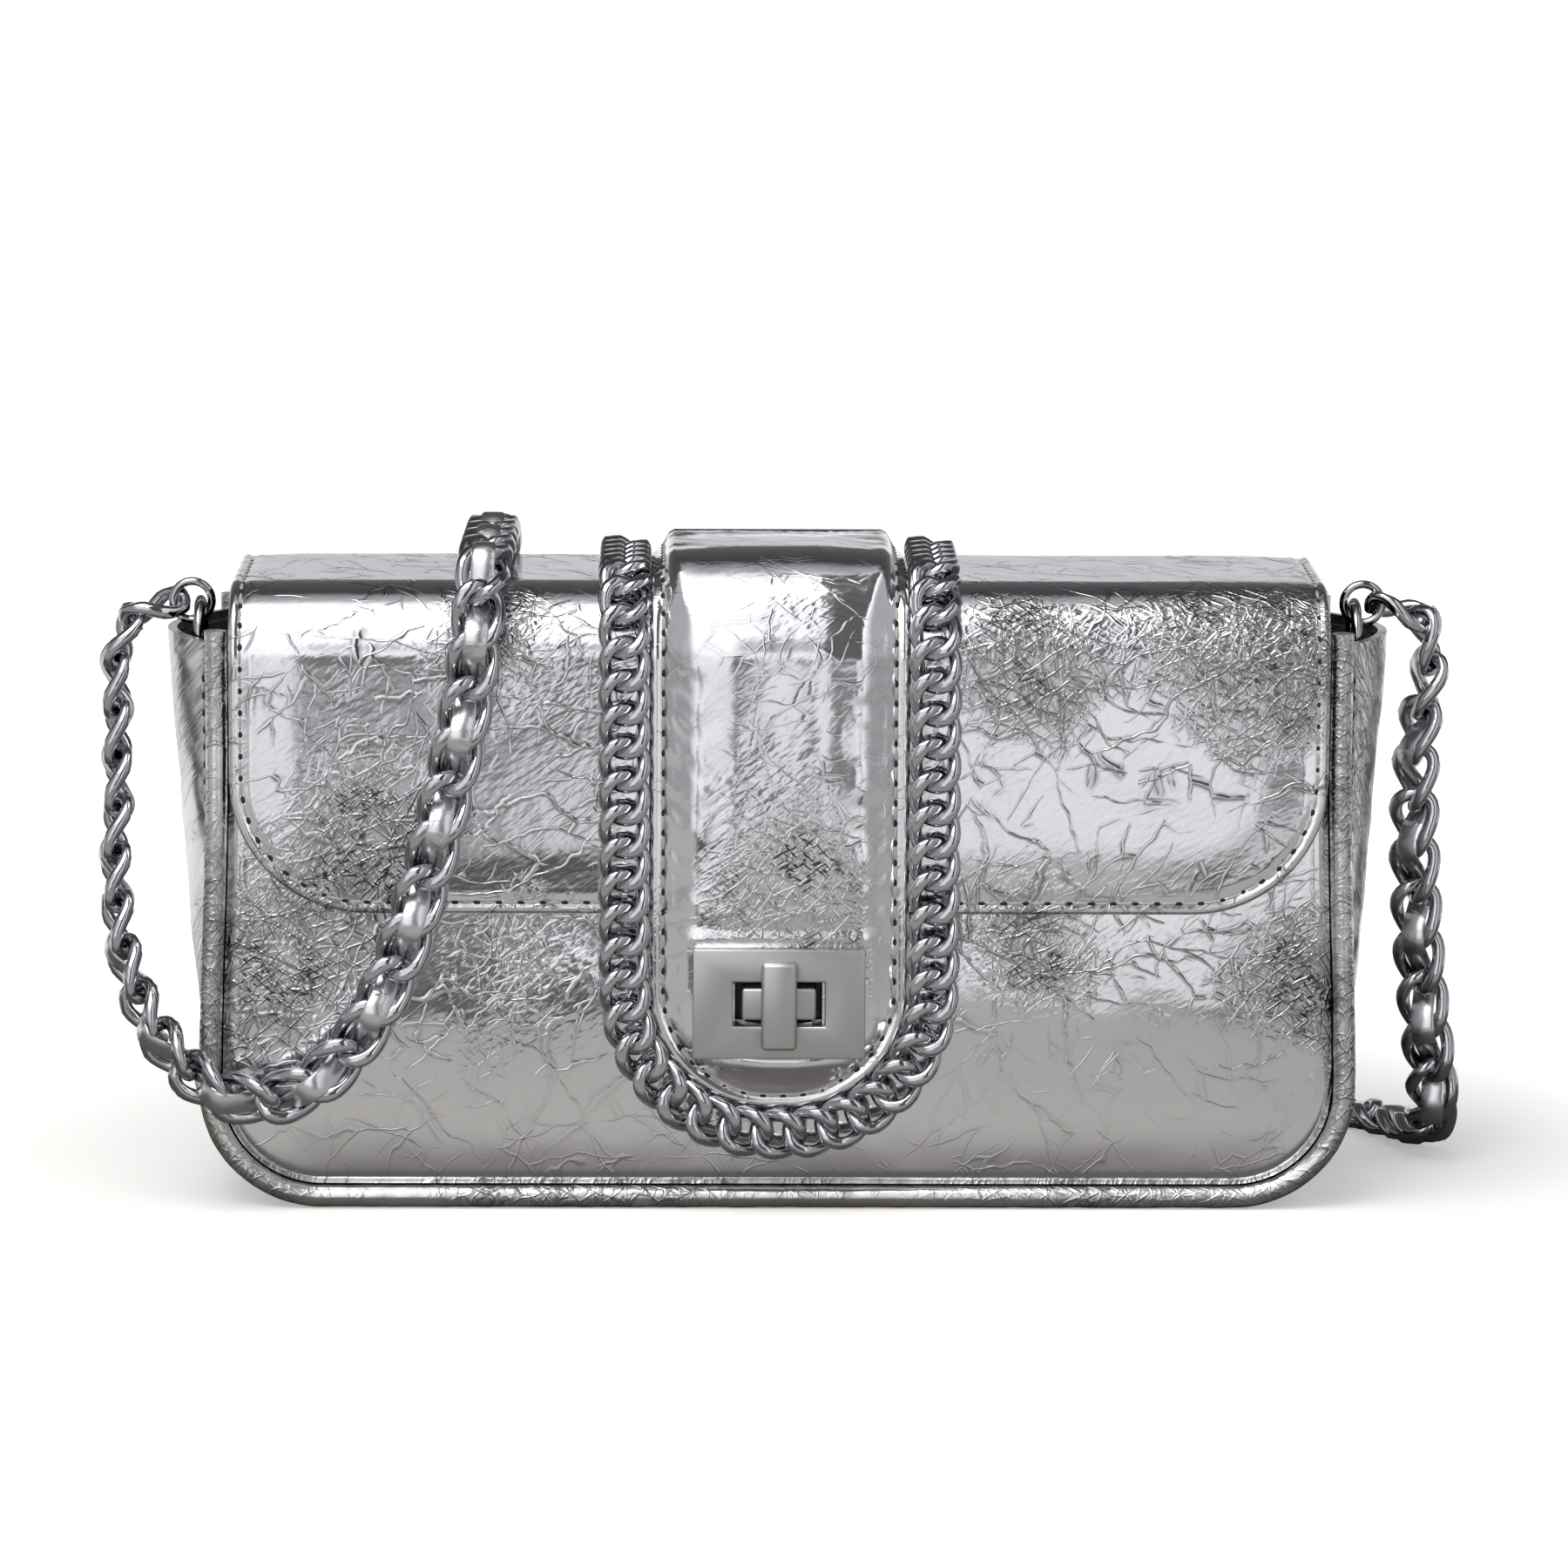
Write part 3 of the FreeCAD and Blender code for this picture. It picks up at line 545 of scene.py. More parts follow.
def tube_mesh(name, centres, radius_at, sides):
    """Round tube with closed ends along points in millimetres."""
    points = [Vector(p) for p in centres]
    verts = []
    across = None
    for i, point in enumerate(points):
        along = (points[min(i + 1, len(points) - 1)] - points[max(i - 1, 0)]).normalized()
        if across is None:
            across = along.orthogonal().normalized()
        across = (across - along * across.dot(along)).normalized()
        up = along.cross(across)
        for k in range(sides):
            turn = 2 * math.pi * k / sides
            reach = radius_at(i, turn)
            verts.append((point + (across * math.cos(turn) + up * math.sin(turn)) * reach) * mm)
    faces = ring_faces(len(points), sides)
    faces.append(tuple(reversed(range(sides))))
    faces.append(tuple(range(len(verts) - sides, len(verts))))
    mesh = bpy.data.meshes.new(name)
    mesh.from_pydata(verts, [], faces)
    mesh.shade_smooth()
    mesh.set_sharp_from_angle(angle=tube_turn)
    return mesh


def piping_piece(name, y, node):
    """Piping round one panel."""
    places = strip_path(pipe_x, pipe_low, pipe_corner, panel_top, pipe_step)
    centres = [(splay(x, z), y, z) for (x, z), _ in places]

    def radius_at(i, turn):
        """Radius with the wrap's puckers."""
        x, _, z = centres[i]
        return pipe_radius + pucker_depth * noise.noise(Vector((x / pucker_size, turn, z / pucker_size)))

    piece = new_piece(name, tube_mesh(name, centres, radius_at, pipe_sides), piping_foil)
    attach(piece, "bag")
    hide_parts(node)


piping_piece("piping_cord_front", -pipe_y, "piping_front")
piping_piece("piping_cord_back", pipe_y, "piping_back")

# Stiffeners: greyboard behind the front and back panels and on the base.
# They are glued to the leather and closed in by the lining, and keep the shape that they are cut to.

noise_span = (0.3, 0.7)


def plain_material(name, colour, roughness, metallic, grain, depth, spread=0.12):
    """Even finish with a fine grain in its colour, gloss and surface."""
    material, tree, shader, place = new_finish(name)
    shader.inputs["Metallic"].default_value = metallic
    fine = speckle(tree, place, grain, 4.0)["Fac"]
    dark = tuple(c * (1 - spread) for c in colour)
    light = tuple(min(c * (1 + spread), 1.0) for c in colour)
    tree.links.new(two_tone(tree, fine, (*dark, 1), (*light, 1)), shader.inputs["Base Color"])
    rough = ranged(tree, fine, *noise_span, roughness * 0.85, min(roughness * 1.15, 1.0))
    tree.links.new(rough, shader.inputs["Roughness"])
    bumped(tree, shader, fine, 1.0, depth)
    return material


def dress(names, material):
    """Gives CAD nodes that stay a finish."""
    for name in names:
        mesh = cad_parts[name].data
        mesh.materials.clear()
        mesh.materials.append(material)


greyboard = plain_material("greyboard", (0.36, 0.35, 0.33), roughness=0.85, metallic=0.0, grain=900.0,
                           depth=0.0001)
dress(["front_board", "back_board", "base_board"], greyboard)

# Lining: a bag of black twill, with one strip for the sides and the base and a sheet at the front and back.
# It is glued in at the mouth and loose below, so that it ripples a little.

lining_x = 118.6
lining_y = 25.25
lining_low = 3.4
lining_top = 120.5
lining_thick = 0.9
lining_strip_corner = 22.2
lining_sheet_corner = 21.2
lining_sheet_gap = 2
ripple_depth = 0.35
ripple_seed = 11.0
ripple_size = 34.0
glued_width = 16
loose_width = 20
twill_dark = (0.006, 0.006, 0.007)
twill_light = (0.022, 0.022, 0.024)
twill_ribs = 330.0


def black_twill():
    """Close black twill with faint diagonal ribs."""
    material, tree, shader, place = new_finish("black_lining_cloth")
    shader.inputs["Roughness"].default_value = 0.85
    shader.inputs["Sheen Weight"].default_value = 0.2
    ribs = add(tree, "ShaderNodeTexWave", [("Vector", place), ("Scale", twill_ribs), ("Distortion", 1.0)],
               bands_direction="DIAGONAL").outputs["Fac"]
    tree.links.new(two_tone(tree, ribs, (*twill_dark, 1), (*twill_light, 1)), shader.inputs["Base Color"])
    bumped(tree, shader, ribs, 0.6, 0.0002)
    return material


black_cloth = black_twill()


def join_meshes(name, meshes):
    """One mesh from several."""
    joined = bmesh.new()
    for mesh in meshes:
        joined.from_mesh(mesh)
        bpy.data.meshes.remove(mesh)
    return finish_mesh(bpy.data.meshes.new(name), joined)


def lining_sheet(name, side):
    """Front or back sheet of the lining."""
    across = spaced(2 * lining_x - 2 * lining_sheet_gap, 2.0, 3.5) - lining_x + lining_sheet_gap
    up = spaced(1.0, 0.03, 0.03)
    outer = np.zeros((len(up), len(across), 3))
    inner = np.zeros_like(outer)
    for c, x in enumerate(across):
        low = low_edge(x, lining_x, lining_low, lining_sheet_corner)
        for r, share in enumerate(up):
            z = low + (lining_top - low) * share
            ripple = ripple_depth * (1 + dents(x, 0, z, ripple_seed + side, ripple_size))
            ripple *= ease(0, glued_width, lining_top - z)
            y = side * (lining_y - lining_thick - max(ripple, 0.0) * ease(0, loose_width, z - low))
            outer[r, c] = splay(x, z), y + side * lining_thick, z
            inner[r, c] = splay(x, z), y, z
    return sheet_mesh(name, outer, inner)


lining_strip = wall_strip("lining_strip", lining_x, lining_low, lining_strip_corner, lining_top, lining_y,
                          lining_thick, step=3.0, seed=13.0, soft=0.3)
lining_sheets = [lining_sheet("lining_front", -1), lining_sheet("lining_back", 1)]
lining_bag = new_piece("lining_bag", join_meshes("lining_bag", [lining_strip] + lining_sheets), black_cloth)
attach(lining_bag, "bag")
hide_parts("lining")

# Flap: foil leather that starts on the back panel, folds over the mouth and hangs down the front.
# Its edge is turned and sewn, which leaves a bright rim outside a row of needle holes.
# Black twill lines its inner face.

flap_half = 117.25
flap_low = 65.0
flap_corner = 29.0
flap_thick = 2.4
flap_lining_thick = 0.9
flap_lining_inset = 0.8
flap_lining_start = 2.0
flap_lining_step = 3.0
flap_lining_tuck = 0.25
flap_glue = 0.1
flap_front_y = -29.4
flap_back_y = 26.8
flap_inner_top = 132.4
front_fold = 12.0
back_fold = 4.2
hinge_z = 127.5
rim_round = 1.2
rim_lift = 0.15
groove_inset = 2.6
groove_depth = 0.6
groove_width = 0.6
crown_lift = 0.3
crown_start = (2.8, 16)
flap_dent = 0.09
flap_dent_seed = 5.0
flap_dent_size = 24.0
tab_calm = 0.8
tab_calm_half = 34
back_sewn_z = 111.0
sewn_rows = 14
sewn_lift = 1.15
sewn_outer_gap = 0.2
sewn_inner_gap = 0.05
sewn_sink = 1.1
sewn_sink_start = (122, 127)


def flap_line(out, back_y=None):
    """Runs and bends of the flap from its back to the end of its front, at a distance from its inner face."""
    front = (flap_front_y + front_fold, flap_inner_top - front_fold)
    back = (flap_back_y - back_fold, flap_inner_top - back_fold)
    parts = []
    if back_y is None:
        parts.append(("run", (flap_back_y + out, hinge_z), (0.0, 1.0), back[1] - hinge_z))
        parts.append(("bend", back, back_fold, 0.0, math.pi / 2))
        parts.append(("run", (back[0], flap_inner_top + out), (-1.0, 0.0), back[0] - front[0]))
    else:
        parts.append(("run", (back_y, flap_inner_top + out), (-1.0, 0.0), back_y - front[0]))
    parts.append(("bend", front, front_fold, math.pi / 2, math.pi))
    parts.append(("run", (flap_front_y - out, front[1]), (0.0, -1.0), front[1]))
    return parts


def flap_length(low, back_y=None):
    """Length along the flap's inner face from its start to a height on the front."""
    total = 0.0
    for part in flap_line(0.0, back_y):
        total += part[3] if part[0] == "run" else part[2] * (part[4] - part[3])
    return total - low


def flap_place(distance, out, back_y=None):
    """Point across the flap (y, z) and outward direction at a length along its inner face."""
    for part in flap_line(out, back_y):
        if part[0] == "run":
            _, start, way, length = part
            if distance <= length or way == (0.0, -1.0):
                return (start[0] + way[0] * distance, start[1] + way[1] * distance), (way[1], -way[0])
        else:
            _, centre, radius, first, last = part
            length = radius * (last - first)
            if distance <= length:
                turn = first + distance / radius
                away = (math.cos(turn), math.sin(turn))
                reach = radius + out
                return (centre[0] + away[0] * reach, centre[1] + away[1] * reach), away
        distance -= length


def flap_edge(inset):
    """Rise of the flap's face near its edge: turned rim, needle groove and a soft crown."""
    if inset < rim_round:
        return -1.0 + math.sqrt(max(1.0 - ((rim_round - inset) / rim_round) ** 2, 0.0))
    groove = -groove_depth * math.exp(-((inset - groove_inset) / groove_width) ** 2)
    return groove + rim_lift * (1 - ease(2.0, 3.0, inset)) + crown_lift * ease(*crown_start, inset)


def flap_sheet(rise, depth, half, low, corner, step, start=0.0, back_y=None):
    """Outer and inner points of a sheet that follows the flap, with its faces given by rise and depth."""
    full = flap_length(low, back_y)
    across = spaced(2 * half, edge_step, step) - half
    along = spaced(1.0, edge_step / full, step / full, (back_y is not None, True))
    outer = np.zeros((len(along), len(across), 3))
    inner = np.zeros_like(outer)
    for c, x in enumerate(across):
        length = full - (low_edge(x, half, low, corner) - low) - start
        for r, share in enumerate(along):
            distance = start + length * share
            inset = edge_distance(x, low + full - distance, half, low, corner)
            if back_y is not None:
                inset = min(inset, distance)
            (y, z), _ = flap_place(distance, 0.0, back_y)
            (y, z), _ = flap_place(distance, rise(x, distance, inset, y, z), back_y)
            outer[r, c] = x, y, z
            (y, z), _ = flap_place(distance, depth(inset), back_y)
            inner[r, c] = x, y, z
    return outer, inner


def flap_rise(x, distance, inset, y, z):
    """Outer face of the flap's leather, calmer under the tab."""
    soft = flap_dent * dents(x, y, z, flap_dent_seed, flap_dent_size) * ease(2, 12, inset)
    calm = 1 - tab_calm * ease(0, 10, tab_calm_half - abs(x))
    return flap_thick + (flap_edge(inset) + soft) * calm


def flap_depth(inset):
    """Inner face of the flap's leather."""
    return flap_lining_thick + flap_glue


def sewn_strip(across):
    """Outer and inner points of the stretch that is sewn flat on the back panel."""
    heights = np.linspace(back_sewn_z, hinge_z, sewn_rows)[:-1]
    outer = np.zeros((len(heights), len(across), 3))
    inner = np.zeros_like(outer)
    for c, x in enumerate(across):
        for r, z in enumerate(heights):
            lift = sewn_lift * ease(0, 1.2, z - back_sewn_z + 0.4) * ease(-0.4, 1.0, flap_half - abs(x))
            flat = 1 - ease(*sewn_sink_start, z)
            outer[r, c] = x, panel_outer_y + sewn_outer_gap + lift * flat, z
            inner[r, c] = x, panel_outer_y + sewn_inner_gap - sewn_sink * (1 - flat), z
    return outer, inner


outer, inner = flap_sheet(flap_rise, flap_depth, flap_half, flap_low, flap_corner, middle_step)
sewn_outer, sewn_inner = sewn_strip(outer[0, :, 0])
flap_mesh = sheet_mesh("flap_cover", np.concatenate([sewn_outer, outer]), np.concatenate([sewn_inner, inner]))
flap_cover = new_piece("flap_cover", flap_mesh, silver_foil)
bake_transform(flap_cover)
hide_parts("flap_leather")


def lining_rise(x, distance, inset, y, z):
    """Face of the flap's lining that is glued to the leather."""
    return flap_lining_thick


def lining_depth(inset):
    """Face of the flap's lining that looks at the bag."""
    return flap_lining_tuck * (1 - ease(0, 2.5, inset))


outer, inner = flap_sheet(lining_rise, lining_depth, flap_half - flap_lining_inset,
                          flap_low + flap_lining_inset, flap_corner, flap_lining_step, flap_lining_start)
flap_inside = new_piece("flap_inside", sheet_mesh("flap_inside", outer, inner), black_cloth)
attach(flap_inside, "flap")
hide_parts("flap_lining")

# Tab: a padded strip of foil leather sewn down the middle of the flap, whose round end carries the lock.
# Its seam draws the leather down 3 mm from the edge, and the padding puckers along it.

tab_half = 27.75
tab_low = 23.0
tab_corner = 26.0
tab_back_y = 15.0
tab_base = 2.5
tab_outer = 7.2
tab_step = 1.1
tab_rim = 4.6
tab_rim_drop = 1.3
tab_rim_round = 1.2
tab_seam_inset = 3.0
tab_seam_depth = 0.55
tab_seam_width = 0.55
tab_pucker = 0.42
tab_pucker_start = (2.6, 4.5)
tab_pucker_fade = (6, 15)
tab_top_fullness = 2.4
tab_dent = 0.12
tab_dent_seed = 17.0
tab_dent_size = 17.0
tab_crown = 0.7
lip_height = 0.7
lip_place = 1.6
lip_width = 1.3
lock_z = 47.0
lock_clear = 7.0
away_from_lock = 20.0
slot_half_width = 9.8
slot_half_height = 4.8
plate_half_width = 18.4
plate_half_height = 11.9


def tab_rise(x, distance, inset, y, z):
    """Outer face of the tab: turned rim, seam, puckered padding and a flat seat with a lip round the lock."""
    rounded_off = max(tab_rim_round - inset, 0.0) ** 2 / tab_rim_round ** 2
    rim = tab_rim - tab_rim_drop * (1 - math.sqrt(max(1.0 - rounded_off, 0.0)))
    groove = -tab_seam_depth * math.exp(-((inset - tab_seam_inset) / tab_seam_width) ** 2)
    pucker = noise.noise(Vector((x / 30, distance / 5.2, 2.0)))
    pucker += 0.5 * noise.noise(Vector((x, distance / 2.6, 9.0)))
    pucker *= tab_pucker * ease(*tab_pucker_start, inset) * (1 - ease(*tab_pucker_fade, inset))
    level_end = tab_back_y - flap_front_y - front_fold
    on_top = 1 - ease(level_end + 1, level_end + 17, distance)
    beside_seam = tab_half - abs(x) if distance < level_end else inset
    swell = tab_outer - tab_rim + tab_top_fullness * on_top
    swell *= ease(2.4 - 1.4 * on_top, 11 - 6 * on_top, beside_seam)
    soft = tab_dent * dents(x, y, z, tab_dent_seed, tab_dent_size) * ease(4, 12, inset)
    above_lock = abs(z - lock_z) - plate_half_height if y < 0 else away_from_lock
    beside = max(abs(x) - plate_half_width, above_lock)
    near = 1 - ease(0.0, lock_clear, beside)
    crown = tab_crown * ease(6, 20, inset)
    lip = lip_height * math.exp(-((beside - lip_place) / lip_width) ** 2) if y < 0 else 0.0
    face = rim + groove + swell + (soft + crown + pucker) * (1 - near) + lip * ease(3, 6, inset)
    flat = tab_outer + 0.05
    return flat + (face - flat) * ease(-1.5, 0.5, beside)


def tab_depth(inset):
    """Underside of the tab."""
    return tab_base


outer, inner = flap_sheet(tab_rise, tab_depth, tab_half, tab_low, tab_corner, tab_step, 0.0, tab_back_y)
middle = (outer[:-1, :-1] + outer[1:, 1:]) / 2
in_slot = (np.abs(middle[..., 0]) < slot_half_width) & (np.abs(middle[..., 2] - lock_z) < slot_half_height)
kept_faces = ~(in_slot & (middle[..., 1] < 0))
tab_foil = foil_leather("tab_foil_leather", foil_colour, creased=0.25, crumpled=0.4, places=worn_places)
tab_cover = new_piece("tab_cover", sheet_mesh("tab_cover", outer, inner, kept_faces), tab_foil)
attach(tab_cover, "flap")
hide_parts("tab_leather", "tab_pad", "tab_backing")

# Stitches: waxed grey-beige thread in even lockstitch, with a dark blob of painted shade for the needle hole
# at each end.
# One row runs round the flap, one round the tab, one up each edge of the side walls and one across the back.

stitch_thread = plain_material("stitch_thread", (0.47, 0.44, 0.38), roughness=0.6, metallic=0.0, grain=4000.0,
                               depth=0.00003, spread=0.3)
# Painted shade: near-black blobs stand for the shade inside each needle hole.
painted_needle_hole_shade = plain_material("painted_needle_hole_shade", (0.02, 0.019, 0.018), roughness=0.9, metallic=0.0, grain=2000.0,
                             depth=0.00002)
thread_sizes = {"Width": 0.75, "Height": 0.7}
thread_lift = 0.12
hole_sizes = {"Length": 1.8, "Width": 1.5, "Height": 0.6}
hole_lift = 0.02
flap_seam_inset = 2.5
flap_seam_start = 12.0
tab_seam_start = 3.0
long_pitch = 4.7
long_stitch = 3.3
tab_pitch = 4.3
tab_stitch = 3.2
wall_pitch = 3.7
wall_stitch = 2.6
wall_seam_inset = 2.6
wall_seam_heights = (26, 119)
wall_seam_lean = 0.55
back_seam_lift = 1.3
back_seam_rise = 2.6
back_seam_gap = 3
side_points = 90
corner_points = 30
end_points = 60


def repeat_tree(name, build, settings):
    """Geometry nodes that put one shape on every point, turned by its along and out directions."""
    tree = bpy.data.node_groups.new(name, "GeometryNodeTree")
    tree.is_modifier = True
    socket(tree, "Geometry", "Geometry", "INPUT")
    for label, value in settings:
        socket(tree, label, "Float", "INPUT", value)
    socket(tree, "Material", "Material", "INPUT")
    socket(tree, "Geometry", "Geometry", "OUTPUT")
    given = tree.nodes.new("NodeGroupInput").outputs
    shape = build(tree, given)
    along, out = [
        add(tree, "GeometryNodeInputNamedAttribute", [("Name", label)], data_type="FLOAT_VECTOR").outputs[0]
        for label in ("along", "out")
    ]
    turn = add(tree, "FunctionNodeAlignRotationToVector", [("Vector", along)], axis="X").outputs[0]
    turn = add(tree, "FunctionNodeAlignRotationToVector", [("Rotation", turn), ("Vector", out)],
               axis="Z", pivot_axis="X").outputs[0]
    links = [("Points", given["Geometry"]), ("Instance", shape), ("Rotation", turn)]
    placed = add(tree, "GeometryNodeInstanceOnPoints", links).outputs[0]
    real = add(tree, "GeometryNodeRealizeInstances", [(0, placed)]).outputs[0]
    smooth = add(tree, "GeometryNodeSetShadeSmooth", [(0, real)]).outputs[0]
    links = [("Geometry", smooth), ("Material", given["Material"])]
    painted = add(tree, "GeometryNodeSetMaterial", links).outputs[0]
    add(tree, "NodeGroupOutput", [(0, painted)])
    return tree


def repeated(name, tree, places, sizes, material):
    """Plain mesh of a shape repeated at places: points in millimetres with along and out directions."""
    mesh = bpy.data.meshes.new(name + "_places")
    mesh.from_pydata([(Vector(p) * mm)[:] for p, _, _ in places], [], [])
    for label, at in (("along", 1), ("out", 2)):
        values = np.array([place[at] for place in places], np.float32)
        mesh.attributes.new(label, "FLOAT_VECTOR", "POINT").data.foreach_set("vector", values.ravel())
    holder = bpy.data.objects.new(name + "_places", mesh)
    bpy.context.scene.collection.objects.link(holder)
    modifier = holder.modifiers.new("repeat", "NODES")
    modifier.node_group = tree
    for item in tree.interface.items_tree:
        if item.in_out == "INPUT" and item.name in sizes:
            modifier[item.identifier] = sizes[item.name] * mm
        elif item.in_out == "INPUT" and item.name == "Material":
            modifier[item.identifier] = material
    made = bpy.data.meshes.new_from_object(holder.evaluated_get(bpy.context.evaluated_depsgraph_get()))
    made.name = name
    for label in ("along", "out"):
        if label in made.attributes:
            made.attributes.remove(made.attributes[label])
    bpy.data.objects.remove(holder)
    bpy.data.meshes.remove(mesh)
    return new_piece(name, made, material)


def stitch_shape(tree, given):
    """Short round thread, thinner towards its ends."""
    ball = add(tree, "GeometryNodeMeshUVSphere", [("Segments", 8), ("Rings", 6), ("Radius", 0.5)]).outputs[0]
    links = [(0, given["Length"]), (1, given["Width"]), (2, given["Height"])]
    size = add(tree, "ShaderNodeCombineXYZ", links).outputs[0]
    return add(tree, "GeometryNodeTransform", [("Geometry", ball), ("Scale", size)]).outputs[0]


stitch_settings = [("Length", 0.003), ("Width", 0.0008), ("Height", 0.0006)]
stitch_tree = repeat_tree("stitch_row", stitch_shape, stitch_settings)


def run_lengths(line):
    """Length along a line at each of its points."""
    lengths = [0.0]
    for a, b in zip(line, line[1:]):
        lengths.append(lengths[-1] + (b - a).length)
    return lengths


def row_places(points, outs, pitch, lift):
    """Evenly spaced places along a line of points, and the places half way between them."""
    line = [Vector(p) for p in points]
    lengths = run_lengths(line)
    count = max(round(lengths[-1] / pitch), 2)
    rows = ([], [])
    i = 0
    for k in range(2 * count - 1):
        s = lengths[-1] * (k + 0.5) / (2 * count)
        while lengths[i + 1] < s:
            i += 1
        share = (s - lengths[i]) / (lengths[i + 1] - lengths[i])
        way = (line[i + 1] - line[i]).normalized()
        out = Vector(outs[i]).lerp(Vector(outs[i + 1]), share).normalized()
        place = line[i].lerp(line[i + 1], share) + out * lift
        rows[k % 2].append((place, way, out))
    return rows


def edge_row(half, low, corner, inset, rise, back_y, start):
    """Line along an edge of the flap or tab at an inset: down one side, round the end and up the other."""
    full = flap_length(low, back_y)
    inner_half = half - inset
    inner_corner = corner - inset
    straight = full - inset - inner_corner
    flat = [(-inner_half, s) for s in np.linspace(start, straight, side_points)]
    for turn in np.linspace(0, math.pi / 2, corner_points)[1:]:
        x = -inner_half + inner_corner * (1 - math.cos(turn))
        flat.append((x, straight + inner_corner * math.sin(turn)))
    first_half = list(flat)
    level = inner_half - inner_corner
    flat += [(x, full - inset) for x in np.linspace(-level, level, end_points)[1:]]
    flat += [(-x, s) for x, s in reversed(first_half)][1:]
    points = []
    outs = []
    for x, s in flat:
        (y, z), away = flap_place(s, 0.0, back_y)
        (y, z), away = flap_place(s, rise(x, s, inset, y, z), back_y)
        points.append((x, y, z))
        outs.append((0.0, *away))
    return points, outs


def sew(name, points, outs, pitch, length, body):
    """Row of stitches and the painted shade of its needle holes on a body."""
    threads, holes = row_places(points, outs, pitch, thread_lift)
    row = repeated(name, stitch_tree, threads, {"Length": length, **thread_sizes}, stitch_thread)
    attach(row, body)
    holes = [(p - o * (thread_lift - hole_lift), a, o) for p, a, o in holes]
    row = repeated(name + "_holes", stitch_tree, holes, hole_sizes, painted_needle_hole_shade)
    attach(row, body)


points, outs = edge_row(flap_half, flap_low, flap_corner, flap_seam_inset, flap_rise, None, flap_seam_start)
sew("flap_stitches", points, outs, long_pitch, long_stitch, "flap")
points, outs = edge_row(tab_half, tab_low, tab_corner, tab_seam_inset, tab_rise, tab_back_y, tab_seam_start)
sew("tab_stitches", points, outs, tab_pitch, tab_stitch, "flap")
for side in (-1, 1):
    for face in (-1, 1):
        points = []
        y = face * (gusset_y - wall_seam_inset)
        for z in np.linspace(*wall_seam_heights, 80):
            wall = gusset_x + bow_at(z) * (1 - (y / gusset_y) ** 2) - 0.1
            points.append((splay(side * wall, z), y, z))
        outs = [Vector((side, face * wall_seam_lean, 0)).normalized()[:]] * len(points)
        label = ("left" if side < 0 else "right") + ("_front" if face < 0 else "_back")
        sew("gusset_stitches_" + label, points, outs, wall_pitch, wall_stitch, "bag")
back_row = np.linspace(-flap_half + back_seam_gap, flap_half - back_seam_gap, 120)
points = [(x, panel_outer_y + back_seam_lift, back_sewn_z + back_seam_rise) for x in back_row]
sew("back_stitches", points, [(0, 1, 0)] * len(points), long_pitch, long_stitch, "bag")

# Chain round the tab: small curb links of dark polished nickel, with their outer faces ground flat.
# It lies on the flap along the tab's edge, where it is sewn down.

trim_x = 33.07
trim_corner = 31.3
trim_low = 17.7
trim_out = 5.5
trim_pitch = 7.2
trim_sizes = {"Half length": 4.85, "Half width": 4.2, "Twist": 1.5, "Wire": 2.9, "Flat": 2.35}
mark_scale = 300.0


def dark_metal(name, colour, roughness):
    """Polished plated metal with faint handling marks."""
    material, tree, shader, place = new_finish(name)
    shader.inputs["Metallic"].default_value = 1.0
    cloud = speckle(tree, place, mark_scale, 3.0)["Fac"]
    dark = tuple(0.85 * c for c in colour)
    tree.links.new(two_tone(tree, cloud, (*dark, 1), (*colour, 1)), shader.inputs["Base Color"])
    rough = ranged(tree, cloud, *noise_span, roughness * 0.7, roughness * 1.4)
    tree.links.new(rough, shader.inputs["Roughness"])
    fine = speckle(tree, place, mark_scale * 5, 2.0)["Fac"]
    bumped(tree, shader, fine, 0.3, 0.00003)
    return material


chain_metal = dark_metal("dark_nickel_chain", (0.56, 0.57, 0.59), 0.09)
ring_metal = dark_metal("dark_nickel_rings", (0.5, 0.51, 0.53), 0.11)


def link_shape(tree, given):
    """Twisted curb link: a bent ring of round wire with its outer faces ground flat."""
    ring = add(tree, "GeometryNodeCurvePrimitiveCircle", [("Resolution", 30), ("Radius", 1.0)]).outputs[0]
    part = add(tree, "GeometryNodeSplineParameter").outputs["Factor"]
    turn = maths(tree, "MULTIPLY", part, 2 * math.pi)
    x = maths(tree, "MULTIPLY", maths(tree, "COSINE", turn), given["Half length"])
    y = maths(tree, "MULTIPLY", maths(tree, "SINE", turn), given["Half width"])
    z = maths(tree, "MULTIPLY", maths(tree, "SINE", maths(tree, "MULTIPLY", turn, 2.0)), given["Twist"])
    line = add(tree, "ShaderNodeCombineXYZ", [(0, x), (1, y), (2, z)]).outputs[0]
    bent = add(tree, "GeometryNodeSetPosition", [("Geometry", ring), ("Position", line)]).outputs[0]
    half_wire = maths(tree, "MULTIPLY", given["Wire"], 0.5)
    links = [("Resolution", 10), ("Radius", half_wire)]
    wire = add(tree, "GeometryNodeCurvePrimitiveCircle", links).outputs[0]
    solid = add(tree, "GeometryNodeCurveToMesh", [(0, bent), (1, wire)]).outputs[0]
    position = add(tree, "GeometryNodeInputPosition").outputs[0]
    place = add(tree, "ShaderNodeSeparateXYZ", [(0, position)]).outputs
    top = maths(tree, "MINIMUM", place[2], given["Flat"])
    level = maths(tree, "MAXIMUM", top, maths(tree, "MULTIPLY", given["Flat"], -1.0))
    ground = add(tree, "ShaderNodeCombineXYZ", [(0, place[0]), (1, place[1]), (2, level)]).outputs[0]
    return add(tree, "GeometryNodeSetPosition", [("Geometry", solid), ("Position", ground)]).outputs[0]


link_tree = repeat_tree("curb_links", link_shape, [(label, 0.004) for label in trim_sizes])


def read_along(marks, lengths, points):
    """Points of a line at lengths along it."""
    columns = np.array([tuple(p) for p in points]).T
    return np.stack([np.interp(marks, lengths, column) for column in columns], 1)


